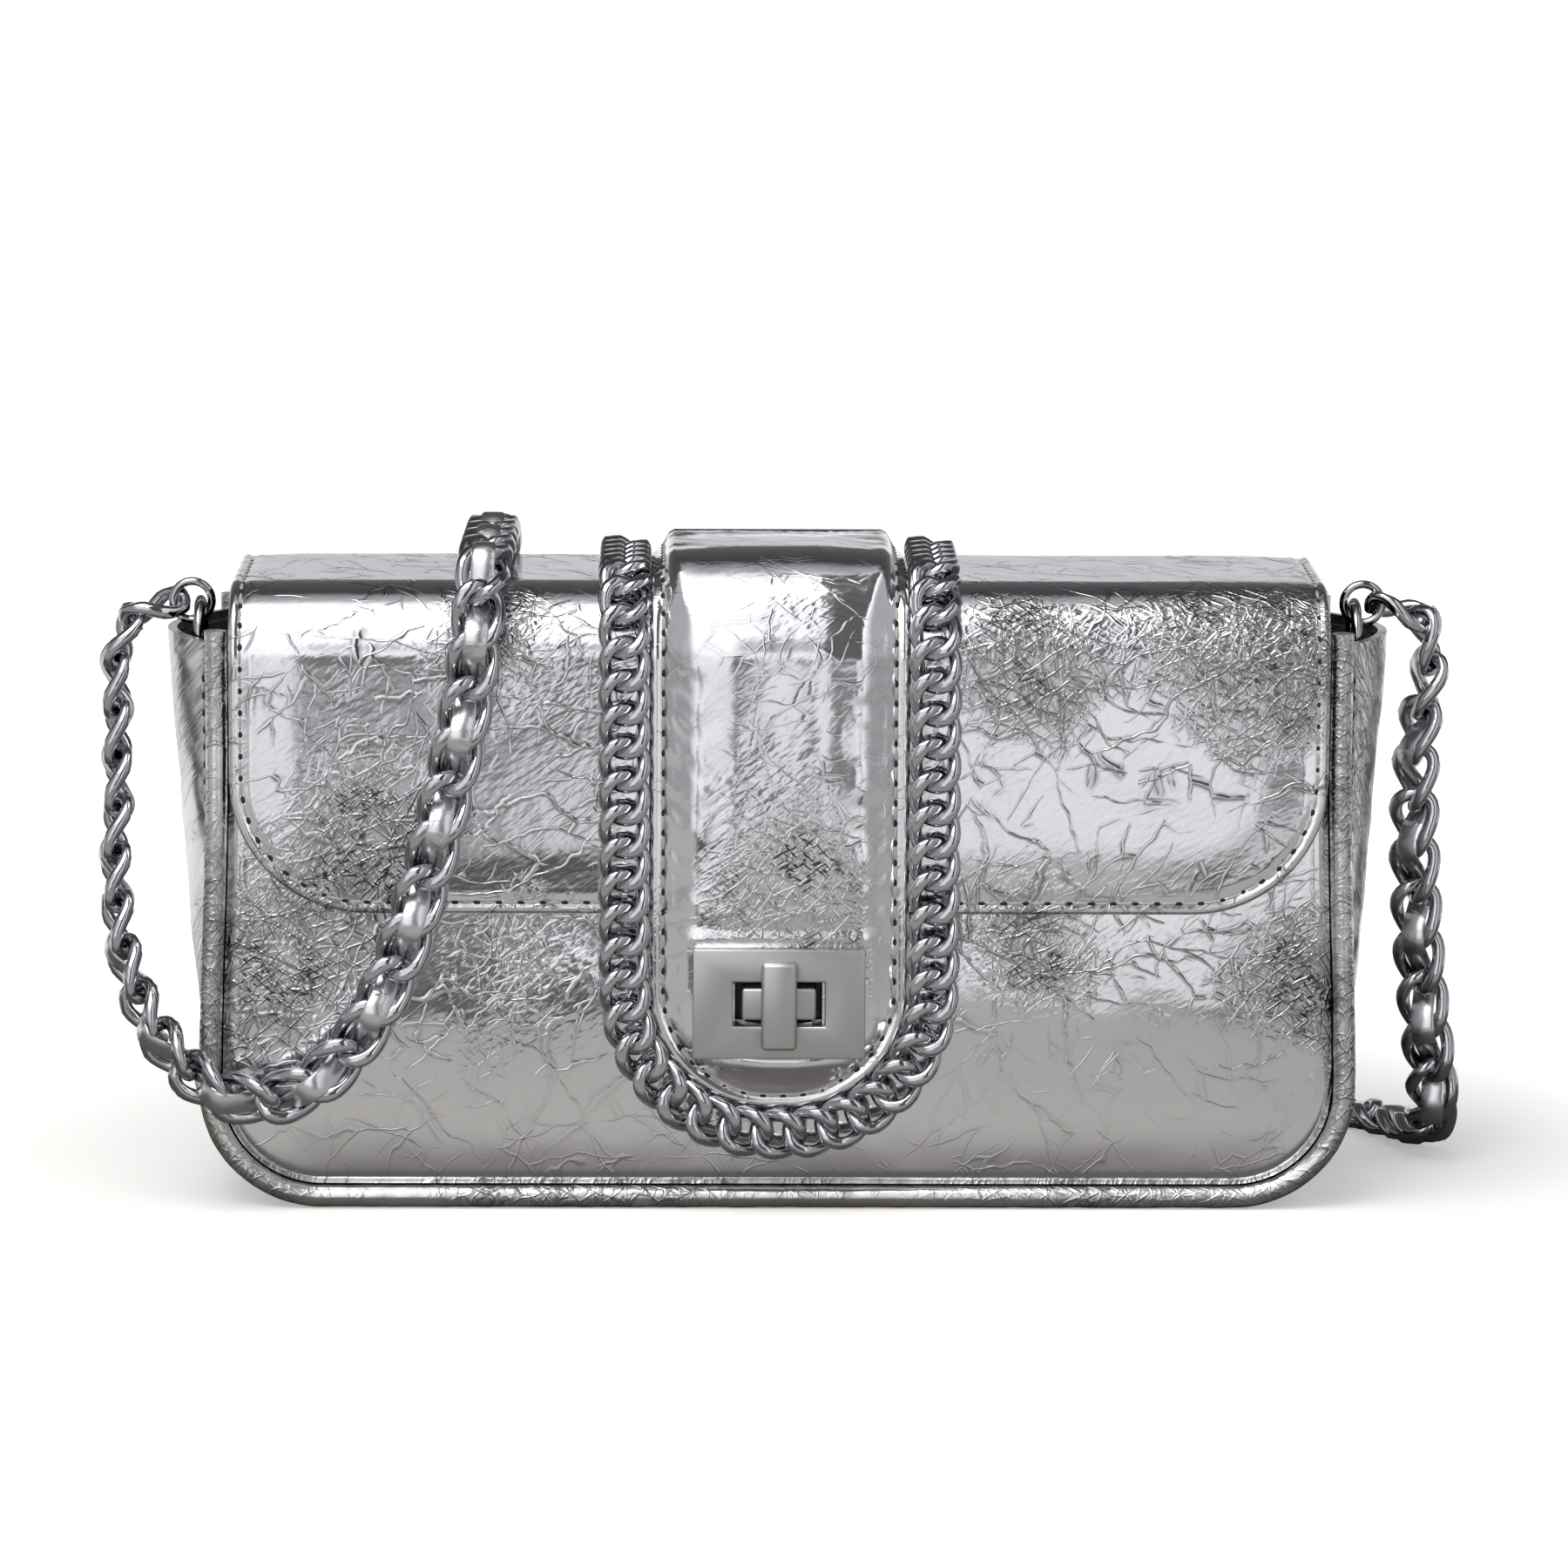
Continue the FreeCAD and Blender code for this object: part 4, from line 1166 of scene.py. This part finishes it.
def link_places(points, outs, pitch):
    """Middle, direction and face of each link along a line of points."""
    line = [Vector(p) for p in points]
    lengths = run_lengths(line)
    count = round(lengths[-1] / pitch)
    marks = np.linspace(0, lengths[-1], count + 1)
    at = read_along(marks, lengths, line)
    face = read_along((marks[1:] + marks[:-1]) / 2, lengths, outs)
    places = []
    for i in range(count):
        along = Vector(at[i + 1] - at[i]).normalized()
        out = Vector(face[i])
        out = (out - along * out.dot(along)).normalized()
        places.append((Vector(at[i] + at[i + 1]) / 2, along, out))
    return places


def trim_rise(x, distance, inset, y, z):
    """Middle of the chain above the flap."""
    return trim_out


points, outs = edge_row(trim_x, trim_low, trim_corner, 0.0, trim_rise, tab_back_y, 0.0)
trim_chain = repeated("tab_chain", link_tree, link_places(points, outs, trim_pitch), trim_sizes, chain_metal)
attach(trim_chain, "flap")
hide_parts("tab_trim_chain")

# Turn lock: a satin nickel plate on the tab with a slot, a base with a raised boss on the front panel,
# its plate painted black as the shadow in the slot, and a bar that turns across the slot.
# Prongs, washer, spring and clip behind them stay as they are made.

plate_front_y = -39.7
plate_back_y = -36.7
plate_bevel = 0.55
base_half_width = 17.0
base_half_height = 9.0
base_front_y = -30.45
base_back_y = -29.05
base_bevel = 0.4
boss_half_width = 8.0
boss_half_height = 3.5
boss_front_y = -39.3
boss_sunk = 0.5
boss_bevel = 0.8
slot_shadow_gap = 0.1
knob_half_width = 3.8
knob_half_height = 9.5
knob_front_y = -43.0
knob_back_y = -40.0
knob_bevel = 0.9
shaft_front_y = -41.0
shaft_back_y = -25.4
shaft_radius = 2.0
bevel_turn = 0.5
lock_turn = math.radians(35)
satin_nickel = plain_material("satin_nickel", (0.53, 0.525, 0.52), roughness=0.4, metallic=1.0, grain=2500.0,
                              depth=0.000012, spread=0.04)
painted_slot_shadow = plain_material("painted_slot_shadow", (0.02, 0.02, 0.021), roughness=0.4, metallic=0.0, grain=1800.0,
                              depth=0.00001)


def box_ring(made, half_x, half_z, y):
    """Four corners of an upright rectangle round the lock's axis."""
    low = lock_z - half_z
    high = lock_z + half_z
    corners = [(-half_x, y, low), (half_x, y, low), (half_x, y, high), (-half_x, y, high)]
    return [made.verts.new([c * mm for c in p]) for p in corners]


def rounded(name, made, width, segments):
    """Mesh of a block with its edges rounded off."""
    bmesh.ops.recalc_face_normals(made, faces=made.faces)
    turned = [e for e in made.edges if e.calc_face_angle(0.0) > bevel_turn]
    bmesh.ops.bevel(made, geom=turned, offset=width * mm, segments=segments, profile=0.5, affect="EDGES",
                    clamp_overlap=True)
    return finish_mesh(bpy.data.meshes.new(name), made, lock_turn)


def slotted_plate(name):
    """Plate with its slot, from four rings of corners."""
    made = bmesh.new()
    rings = [
        box_ring(made, slot_half_width, slot_half_height, plate_front_y),
        box_ring(made, plate_half_width, plate_half_height, plate_front_y),
        box_ring(made, plate_half_width, plate_half_height, plate_back_y),
        box_ring(made, slot_half_width, slot_half_height, plate_back_y),
    ]
    for a, b in zip(rings, rings[1:] + rings[:1]):
        for i in range(4):
            j = (i + 1) % 4
            made.faces.new((a[i], a[j], b[j], b[i]))
    return rounded(name, made, plate_bevel, 2)


def bevelled_box(name, half_x, half_z, y_front, y_back, width, segments):
    """Block with rounded edges round the lock's axis."""
    made = bmesh.new()
    front = box_ring(made, half_x, half_z, y_front)
    back = box_ring(made, half_x, half_z, y_back)
    made.faces.new(front)
    made.faces.new(list(reversed(back)))
    for i in range(4):
        j = (i + 1) % 4
        made.faces.new((front[i], back[i], back[j], front[j]))
    return rounded(name, made, width, segments)


lock_face = new_piece("lock_face", slotted_plate("lock_face"), satin_nickel)
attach(lock_face, "flap")
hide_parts("lock_plate")

base_mesh = join_meshes("lock_seat", [
    bevelled_box("seat", base_half_width, base_half_height, base_front_y, base_back_y, base_bevel, 2),
    bevelled_box("boss", boss_half_width, boss_half_height, boss_front_y, base_front_y + boss_sunk,
                 boss_bevel, 3),
])
lock_seat = new_piece("lock_seat", base_mesh, satin_nickel)
# Painted shadow: the seat plate is black, as the shadow in the slot round the boss; the boss stays satin
# nickel.
base_mesh.materials.append(painted_slot_shadow)
for face in base_mesh.polygons:
    face.material_index = int(face.center.y > (base_front_y - slot_shadow_gap) * mm)
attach(lock_seat, "bag")
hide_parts("lock_base")

bar_mesh = bevelled_box("bar", knob_half_width, knob_half_height, knob_front_y, knob_back_y, knob_bevel, 2)
shaft_line = [(0, y, lock_z) for y in np.linspace(shaft_front_y, shaft_back_y, 8)]
shaft_mesh = tube_mesh("shaft", shaft_line, lambda i, turn: shaft_radius, 24)
lock_bar = new_piece("lock_bar", join_meshes("lock_bar", [bar_mesh, shaft_mesh]), satin_nickel)
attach(lock_bar, "knob")
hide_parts("turn_knob")
dress(["lock_backing_plate", "lock_washer", "detent_spring", "knob_clip"], satin_nickel)

# Strap ends: on each side wall a folded strip of foil leather, the chape, holds a D-ring.
# A round ring joins the D-ring to the chain.

chape_half = 5.5
chape_low = 94.0
chape_low_x = 122.2
chape_leather = 1.2
chape_inside = 1.4
chape_edge = 0.45
ring_bar_x = 124.917
ring_bar_z = 115.4


def between(start, end, count):
    """Points from one to another."""
    return [(start[0] + (end[0] - start[0]) * s, start[1] + (end[1] - start[1]) * s)
            for s in np.linspace(0, 1, count)]


def chape_piece(name, side, node):
    """Folded strip with its loop round the ring's bar."""
    radius = chape_inside + chape_leather / 2
    outer_end = (chape_low_x - chape_leather / 2, chape_low)
    inner_end = (chape_low_x - 1.5 * chape_leather, chape_low)
    places = between(outer_end, (ring_bar_x + radius, ring_bar_z), 12)
    for turn in np.linspace(0, math.pi, 14)[1:]:
        places.append((ring_bar_x + radius * math.cos(turn), ring_bar_z + radius * math.sin(turn)))
    places += between((ring_bar_x - radius, ring_bar_z), inner_end, 12)[1:]
    across = spaced(2 * chape_half, 0.3, 1.0) - chape_half
    outer = np.zeros((len(places), len(across), 3))
    inner = np.zeros_like(outer)
    for r, (x, z) in enumerate(places):
        before, after = places[max(r - 1, 0)], places[min(r + 1, len(places) - 1)]
        way = Vector((after[0] - before[0], after[1] - before[1])).normalized()
        for c, y in enumerate(across):
            thick = chape_leather / 2 * (chape_edge + (1 - chape_edge) * ease(0, 1.0, chape_half - abs(y)))
            outer[r, c] = side * (x + way[1] * thick), y, z - way[0] * thick
            inner[r, c] = side * (x - way[1] * thick), y, z + way[0] * thick
    piece = new_piece(name, sheet_mesh(name, outer, inner), silver_foil)
    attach(piece, "bag")
    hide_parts(node)


chape_piece("chape_leather_left", -1, "chape_left")
chape_piece("chape_leather_right", 1, "chape_right")
dress(["d_ring_left", "d_ring_right", "joining_ring_left", "joining_ring_right"], ring_metal)

# Shoulder strap: curb links of dark nickel with a flat leather lace woven through them.
# It hangs from the left ring, lies across the flap, goes down behind the bag and runs along the floor
# to the right ring. Each row below is a point of its line and the way that its broad face looks there.

strap_rows = [
    ((-130.07, 0, 127.9), (0, 0, 1)), ((-138.5, -0.5, 127), (-0.4, 0, 0.9)),
    ((-143.3, -2, 119.5), (-0.9, 0, 0.4)), ((-142.8, -4, 104), (-1, 0, 0)), ((-142.5, -8, 86), (-1, -0.1, 0)),
    ((-143.2, -14, 68), (-1, -0.2, 0)), ((-141, -20, 52), (-1, -0.4, -0.2)),
    ((-134, -28, 38), (-0.8, -0.7, -0.3)), ((-124, -35, 28), (-0.5, -0.9, -0.3)),
    ((-112, -38.5, 24), (-0.3, -1, -0.2)), ((-99, -38.5, 28), (-0.1, -1, -0.1)),
    ((-89, -38, 39), (0, -1, 0)), ((-81.5, -37.5, 54), (0, -1, 0)), ((-75.5, -37, 72), (0, -1, 0)),
    ((-70.5, -37, 92), (0, -1, 0)), ((-66, -37.2, 112), (0, -1, 0)), ((-64, -37.8, 128.5), (0, -1, 0.2)),
    ((-63, -31.5, 141), (0, -0.6, 0.8)), ((-62.5, -13, 141.8), (0, 0, 1)), ((-62, 10, 142), (0, 0, 1)),
    ((-62, 29, 141), (0, 0.5, 0.9)), ((-62, 38, 129), (0, 0.9, 0.3)), ((-62, 36.5, 106), (0, 1, 0)),
    ((-62.5, 36, 80), (0, 1, 0)), ((-65, 37, 50), (0, 1, 0.1)), ((-71, 42, 22), (-0.3, 0.9, 0.4)),
    ((-83, 51, 6), (-0.2, 0.4, 0.9)), ((-103, 65, 3.2), (0, 0, 1)), ((-108, 88, 3.2), (0, 0, 1)),
    ((-96, 108, 3.2), (0, 0, 1)), ((-73, 115, 3.2), (0, 0, 1)), ((-42, 109, 3.2), (0, 0, 1)),
    ((-8, 96, 3.2), (0, 0, 1)), ((28, 86, 3.2), (0, 0, 1)), ((66, 81, 3.2), (0, 0, 1)),
    ((100, 77, 3.2), (0, 0, 1)), ((125, 66, 3.2), (0, 0, 1)), ((139, 47, 3.2), (0, 0.1, 1)),
    ((146, 24, 5.0), (0.1, 0.4, 0.9)), ((146, 12, 15), (0.2, 0.9, 0.3)), ((143.5, 9, 30), (0.3, 1, 0)),
    ((141, 7, 50), (0.4, 0.9, 0)), ((139.5, 5, 72), (0.6, 0.8, 0)), ((139, 3, 94), (0.8, 0.5, 0)),
    ((140.8, 1, 112), (1, 0.2, 0.1)), ((143.2, 0, 120), (0.9, 0, 0.4)), ((138.5, 0, 127), (0.4, 0, 0.9)),
    ((130.07, 0, 127.9), (0, 0, 1)),
]
strap_pitch = 10.4
strap_sizes = {"Half length": 6.6, "Half width": 4.4, "Twist": 2.1, "Wire": 3.1, "Flat": 2.9}
end_links = 3
route_steps = 10
lace_half_width = 2.5
lace_half_thick = 0.6
lace_weave = 3.1
lace_steps = 12
lace_reach = 1.0
lace_section = [(-1, -0.4), (-0.75, -1), (0, -1.05), (0.75, -1), (1, -0.4),
                (1, 0.4), (0.75, 1), (0, 1.05), (-0.75, 1), (-1, 0.4)]
lace_leather = foil_leather("lace_foil_leather", (0.72, 0.72, 0.73), creased=0.5, crumpled=0.6,
                            roughness=0.26)


def read_route(rows):
    """Points of the strap's smooth line, the way its broad face looks at each, and their lengths along it."""
    curve = bpy.data.curves.new("strap_route", "CURVE")
    curve.dimensions = "3D"
    curve.resolution_u = route_steps
    spline = curve.splines.new("NURBS")
    spline.points.add(len(rows) - 1)
    for point, (place, _) in zip(spline.points, rows):
        point.co = (*(Vector(place) * mm), 1.0)
    spline.order_u = 3
    spline.use_endpoint_u = True
    holder = bpy.data.objects.new("strap_route", curve)
    bpy.context.scene.collection.objects.link(holder)
    mesh = bpy.data.meshes.new_from_object(holder.evaluated_get(bpy.context.evaluated_depsgraph_get()))
    line = [v.co / mm for v in mesh.vertices]
    bpy.data.objects.remove(holder)
    bpy.data.curves.remove(curve)
    bpy.data.meshes.remove(mesh)
    lengths = run_lengths(line)
    marks = []
    first = 0
    for place, _ in rows:
        gaps = [(p - Vector(place)).length for p in line[first:first + 6 * route_steps]]
        first += int(np.argmin(gaps))
        marks.append(lengths[first])
    ways = [Vector(way).normalized() for _, way in rows]
    return line, read_along(lengths, marks, ways), lengths


strap_line, strap_faces, strap_marks = read_route(strap_rows)
strap_links = link_places(strap_line, strap_faces, strap_pitch)
link_count = len(strap_links)
link_length = strap_marks[-1] / link_count


def lace_mesh(name, first, last):
    """Flat lace that goes over one joint of the chain and under the next, between two links."""
    marks = np.arange(first * link_length, last * link_length + 0.01, link_length / lace_steps)
    middles = read_along(marks, strap_marks, strap_line)
    ahead = read_along(marks + lace_reach, strap_marks, strap_line)
    behind = read_along(marks - lace_reach, strap_marks, strap_line)
    looks = read_along(marks, strap_marks, strap_faces)
    verts = []
    for i, s in enumerate(marks):
        along = (Vector(ahead[i]) - Vector(behind[i])).normalized()
        face = Vector(looks[i])
        face = (face - along * face.dot(along)).normalized()
        turn = math.pi * s / link_length
        slope = -math.pi / link_length * lace_weave * math.sin(turn)
        up = (face - along * slope).normalized()
        place = Vector(middles[i]) + face * lace_weave * math.cos(turn)
        across = along.cross(face)
        for a, b in lace_section:
            corner = place + across * a * lace_half_width + up * b * lace_half_thick
            verts.append(Vector((corner.x, corner.y, max(corner.z, 0.0))) * mm)
    sides = len(lace_section)
    faces = ring_faces(len(marks), sides)
    faces.append(tuple(range(sides)))
    faces.append(tuple(reversed(range(len(verts) - sides, len(verts)))))
    mesh = bpy.data.meshes.new(name)
    mesh.from_pydata(verts, [], faces)
    turned = bmesh.new()
    turned.from_mesh(mesh)
    bmesh.ops.recalc_face_normals(turned, faces=turned.faces)
    return finish_mesh(mesh, turned, tube_turn)


middle_links = strap_links[end_links:link_count - end_links]
strap_chain = repeated("strap_chain", link_tree, middle_links, strap_sizes, chain_metal)
for corner in strap_chain.data.vertices:
    corner.co.z = max(corner.co.z, 0.0)
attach(strap_chain, "bag")
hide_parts("strap_links_left", "strap_links_front", "strap_links_back")
strap_lace = new_piece("strap_lace", lace_mesh("strap_lace", end_links, link_count - end_links), lace_leather)
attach(strap_lace, "bag")
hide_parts("strap_lace_left", "strap_lace_front", "strap_lace_back")
strap_ends = [strap_lace]
last_links = link_count - end_links
for label, links, lace_from, lace_to, ring_link, still_link in (
    ("left", strap_links[:end_links], 1, end_links, 0, end_links),
    ("right", strap_links[last_links:], last_links, link_count - 1, -1, last_links - 1),
):
    chain = repeated("strap_end_" + label, link_tree, links, strap_sizes, chain_metal)
    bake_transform(chain)
    lace_name = "strap_end_lace_" + label
    lace = new_piece(lace_name, lace_mesh(lace_name, lace_from, lace_to), lace_leather)
    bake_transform(lace)
    strap_ends += [chain, lace]

# Studio: a pale floor that fades to white, and one large soft lamp above, in front and to the left.
# The foil mirrors grey walls with dark corners and a few dark cards, which the camera doesn't see.

floor_front = -0.36
floor_back = 1.2
floor_half = 0.9
floor_cards = [((-0.06, -0.31, 0.0), 0.07), ((0.14, -0.3, 0.0), 0.05), ((-0.16, -0.33, 0.0), 0.04)]
floor_white = (0.88, 0.85, 0.81, 1)
floor_near = (0.57, 0.55, 0.52, 1)
floor_far = (0.55, 0.54, 0.53, 1)
floor_under_shadow = (0.16, 0.15, 0.14, 1)
card_black = (0.03, 0.03, 0.03, 1)


def floor_material():
    """Pale floor: white to the camera apart from the bag's shadow, and darker in what the foil mirrors, with
    a painted shadow right under the bag there.
    """
    material = bpy.data.materials.new("pale_floor")
    material.use_nodes = True
    tree = material.node_tree
    tree.nodes.clear()
    spot = add(tree, "ShaderNodeTexCoord").outputs["Object"]
    place = add(tree, "ShaderNodeSeparateXYZ", [(0, spot)]).outputs
    cards = [soft_step(tree, distance_from(tree, spot, centre), radius, 0.5 * radius)
             for centre, radius in floor_cards]
    distant = two_tone(tree, combined(tree, "MAXIMUM", cards), floor_far, card_black)
    shown = two_tone(tree, soft_step(tree, place[1], -0.2, -0.3), floor_near, distant)
    # Painted shadow: close under the bag the floor is dark in what the foil mirrors and in bounced light.
    under = soft_step(tree, maths(tree, "ABSOLUTE", place[1]), 0.09, 0.045)
    shown = two_tone(tree, under, shown, floor_under_shadow)
    path = add(tree, "ShaderNodeLightPath").outputs
    mirrored = maths(tree, "MAXIMUM", path["Is Glossy Ray"], path["Is Transmission Ray"])
    behind = soft_step(tree, place[1], 0.06, 0.25, 0.0, 0.55)
    ray = maths(tree, "MAXIMUM", path["Is Camera Ray"], maths(tree, "MULTIPLY", mirrored, behind))
    matt = add(tree, "ShaderNodeBsdfDiffuse", [("Color", two_tone(tree, ray, shown, floor_white))])
    away = add(tree, "ShaderNodeVectorMath", [(0, spot)], operation="LENGTH").outputs["Value"]
    white = soft_step(tree, away, 0.14, 0.34, 0.36, 1.0)
    glow = add(tree, "ShaderNodeEmission", [("Strength", maths(tree, "MULTIPLY", ray, white))])
    both = add(tree, "ShaderNodeAddShader", [(0, matt.outputs[0]), (1, glow.outputs[0])])
    add(tree, "ShaderNodeOutputMaterial", [(0, both.outputs[0])])
    return material


floor_mesh = bpy.data.meshes.new("floor")
floor_corners = [(-floor_half, floor_front, 0), (floor_half, floor_front, 0), (floor_half, floor_back, 0),
                 (-floor_half, floor_back, 0)]
floor_mesh.from_pydata(floor_corners, [], [(0, 1, 2, 3)])
floor = new_piece("floor", floor_mesh, floor_material())

# Brightness of the walls from straight down (0) to straight up (1), in front of the bag and behind it.
wall_stops = (
    ((0.0, 0.3), (0.36, 0.54), (0.392, 0.7), (0.41, 0.95), (0.47, 1.0), (0.5, 1.2), (0.54, 1.25),
     (1.0, 1.25)),
    ((0.0, 0.5), (0.5, 1.0), (0.54, 0.75), (0.6, 0.52), (0.64, 0.14), (0.96, 0.06), (1.0, 0.5)),
)
wall_tint = (0.98, 0.99, 1.02)
wall_dark = (0.02, 0.02, 0.02, 1)
wall_cards = (((-0.05, -0.98, -0.2), 0.032), ((-0.04, -0.992, -0.105), 0.075),
              ((0.155, -0.977, -0.15), 0.055))


def grey_studio():
    """World: white to the camera, and to the foil a bright ceiling, grey walls and dark corners."""
    world = bpy.data.worlds.new("studio")
    bpy.context.scene.world = world
    world.use_nodes = True
    tree = world.node_tree
    tree.nodes.clear()
    facing = add(tree, "ShaderNodeTexCoord").outputs["Generated"]
    way = add(tree, "ShaderNodeSeparateXYZ", [(0, facing)]).outputs
    level = ranged(tree, way[2], -1.0, 1.0)
    sides = []
    for stops in wall_stops:
        ramp = add(tree, "ShaderNodeValToRGB", [(0, level)])
        elements = ramp.color_ramp.elements
        while len(elements) < len(stops):
            elements.new(0.5)
        for element, (place, value) in zip(elements, stops):
            element.position = place
            element.color = (*(value * tint for tint in wall_tint), 1)
        sides.append(ramp.outputs[0])
    walls = two_tone(tree, ranged(tree, way[1], -0.08, 0.08), *sides)
    corner = soft_step(tree, speckle(tree, facing, 3.2, 2.0)["Fac"], 0.54, 0.68)
    near = soft_step(tree, maths(tree, "ABSOLUTE", way[2]), 0.45, 0.2)
    dim = combined(tree, "MULTIPLY", [corner, near, 0.6])
    strip = combined(tree, "MULTIPLY", [
        soft_step(tree, way[0], 0.05, 0.065),
        maths(tree, "LESS_THAN", way[0], 0.4),
        maths(tree, "GREATER_THAN", way[2], -0.09),
        maths(tree, "LESS_THAN", way[1], 0.0),
    ])
    cards = [soft_step(tree, distance_from(tree, facing, centre), radius, 0.7 * radius)
             for centre, radius in wall_cards]
    aside = soft_step(tree, maths(tree, "ABSOLUTE", way[0]), 0.45, 0.75, 0.0, 0.7)
    aside = maths(tree, "MULTIPLY", aside, ranged(tree, way[1], 0.1, -0.1, 0.35, 1.0))
    dim = combined(tree, "MAXIMUM", [dim, aside, strip] + cards)
    walls = two_tone(tree, maths(tree, "MULTIPLY", dim, 0.92), walls, wall_dark)
    ray = add(tree, "ShaderNodeLightPath").outputs["Is Camera Ray"]
    shown = two_tone(tree, ray, walls, (1, 1, 1, 1))
    back = add(tree, "ShaderNodeBackground", [("Color", shown), ("Strength", 1.0)])
    add(tree, "ShaderNodeOutputWorld", [(0, back.outputs[0])])


grey_studio()

lamp_place = Vector((-0.35, -0.5, 1.1))
lamp_target = Vector((0, 0, 0.05))
lamp = bpy.data.lights.new("ceiling_box", "AREA")
lamp.shape = "RECTANGLE"
lamp.size = 0.8
lamp.size_y = 0.7
lamp.energy = 6.0
ceiling_box = bpy.data.objects.new("ceiling_box", lamp)
ceiling_box.location = lamp_place
ceiling_box.rotation_euler = (lamp_target - lamp_place).to_track_quat("-Z", "Y").to_euler()
bpy.context.scene.collection.objects.link(ceiling_box)

camera_roll = 0.005
camera_target = Vector((0.001, -0.029, 0.0929))
lens = bpy.data.cameras.new("camera")
lens.sensor_width = 36.0
lens.lens = 163.8
camera = bpy.data.objects.new("camera", lens)
camera.location = (-0.022, -1.529, 0.352)
aim = camera_target - camera.location
roll = Quaternion((0.0, 0.0, 1.0), camera_roll)
camera.rotation_euler = (aim.to_track_quat("-Z", "Y") @ roll).to_euler()
bpy.context.scene.collection.objects.link(camera)
bpy.context.scene.camera = camera
bpy.context.scene.view_settings.view_transform = "Standard"
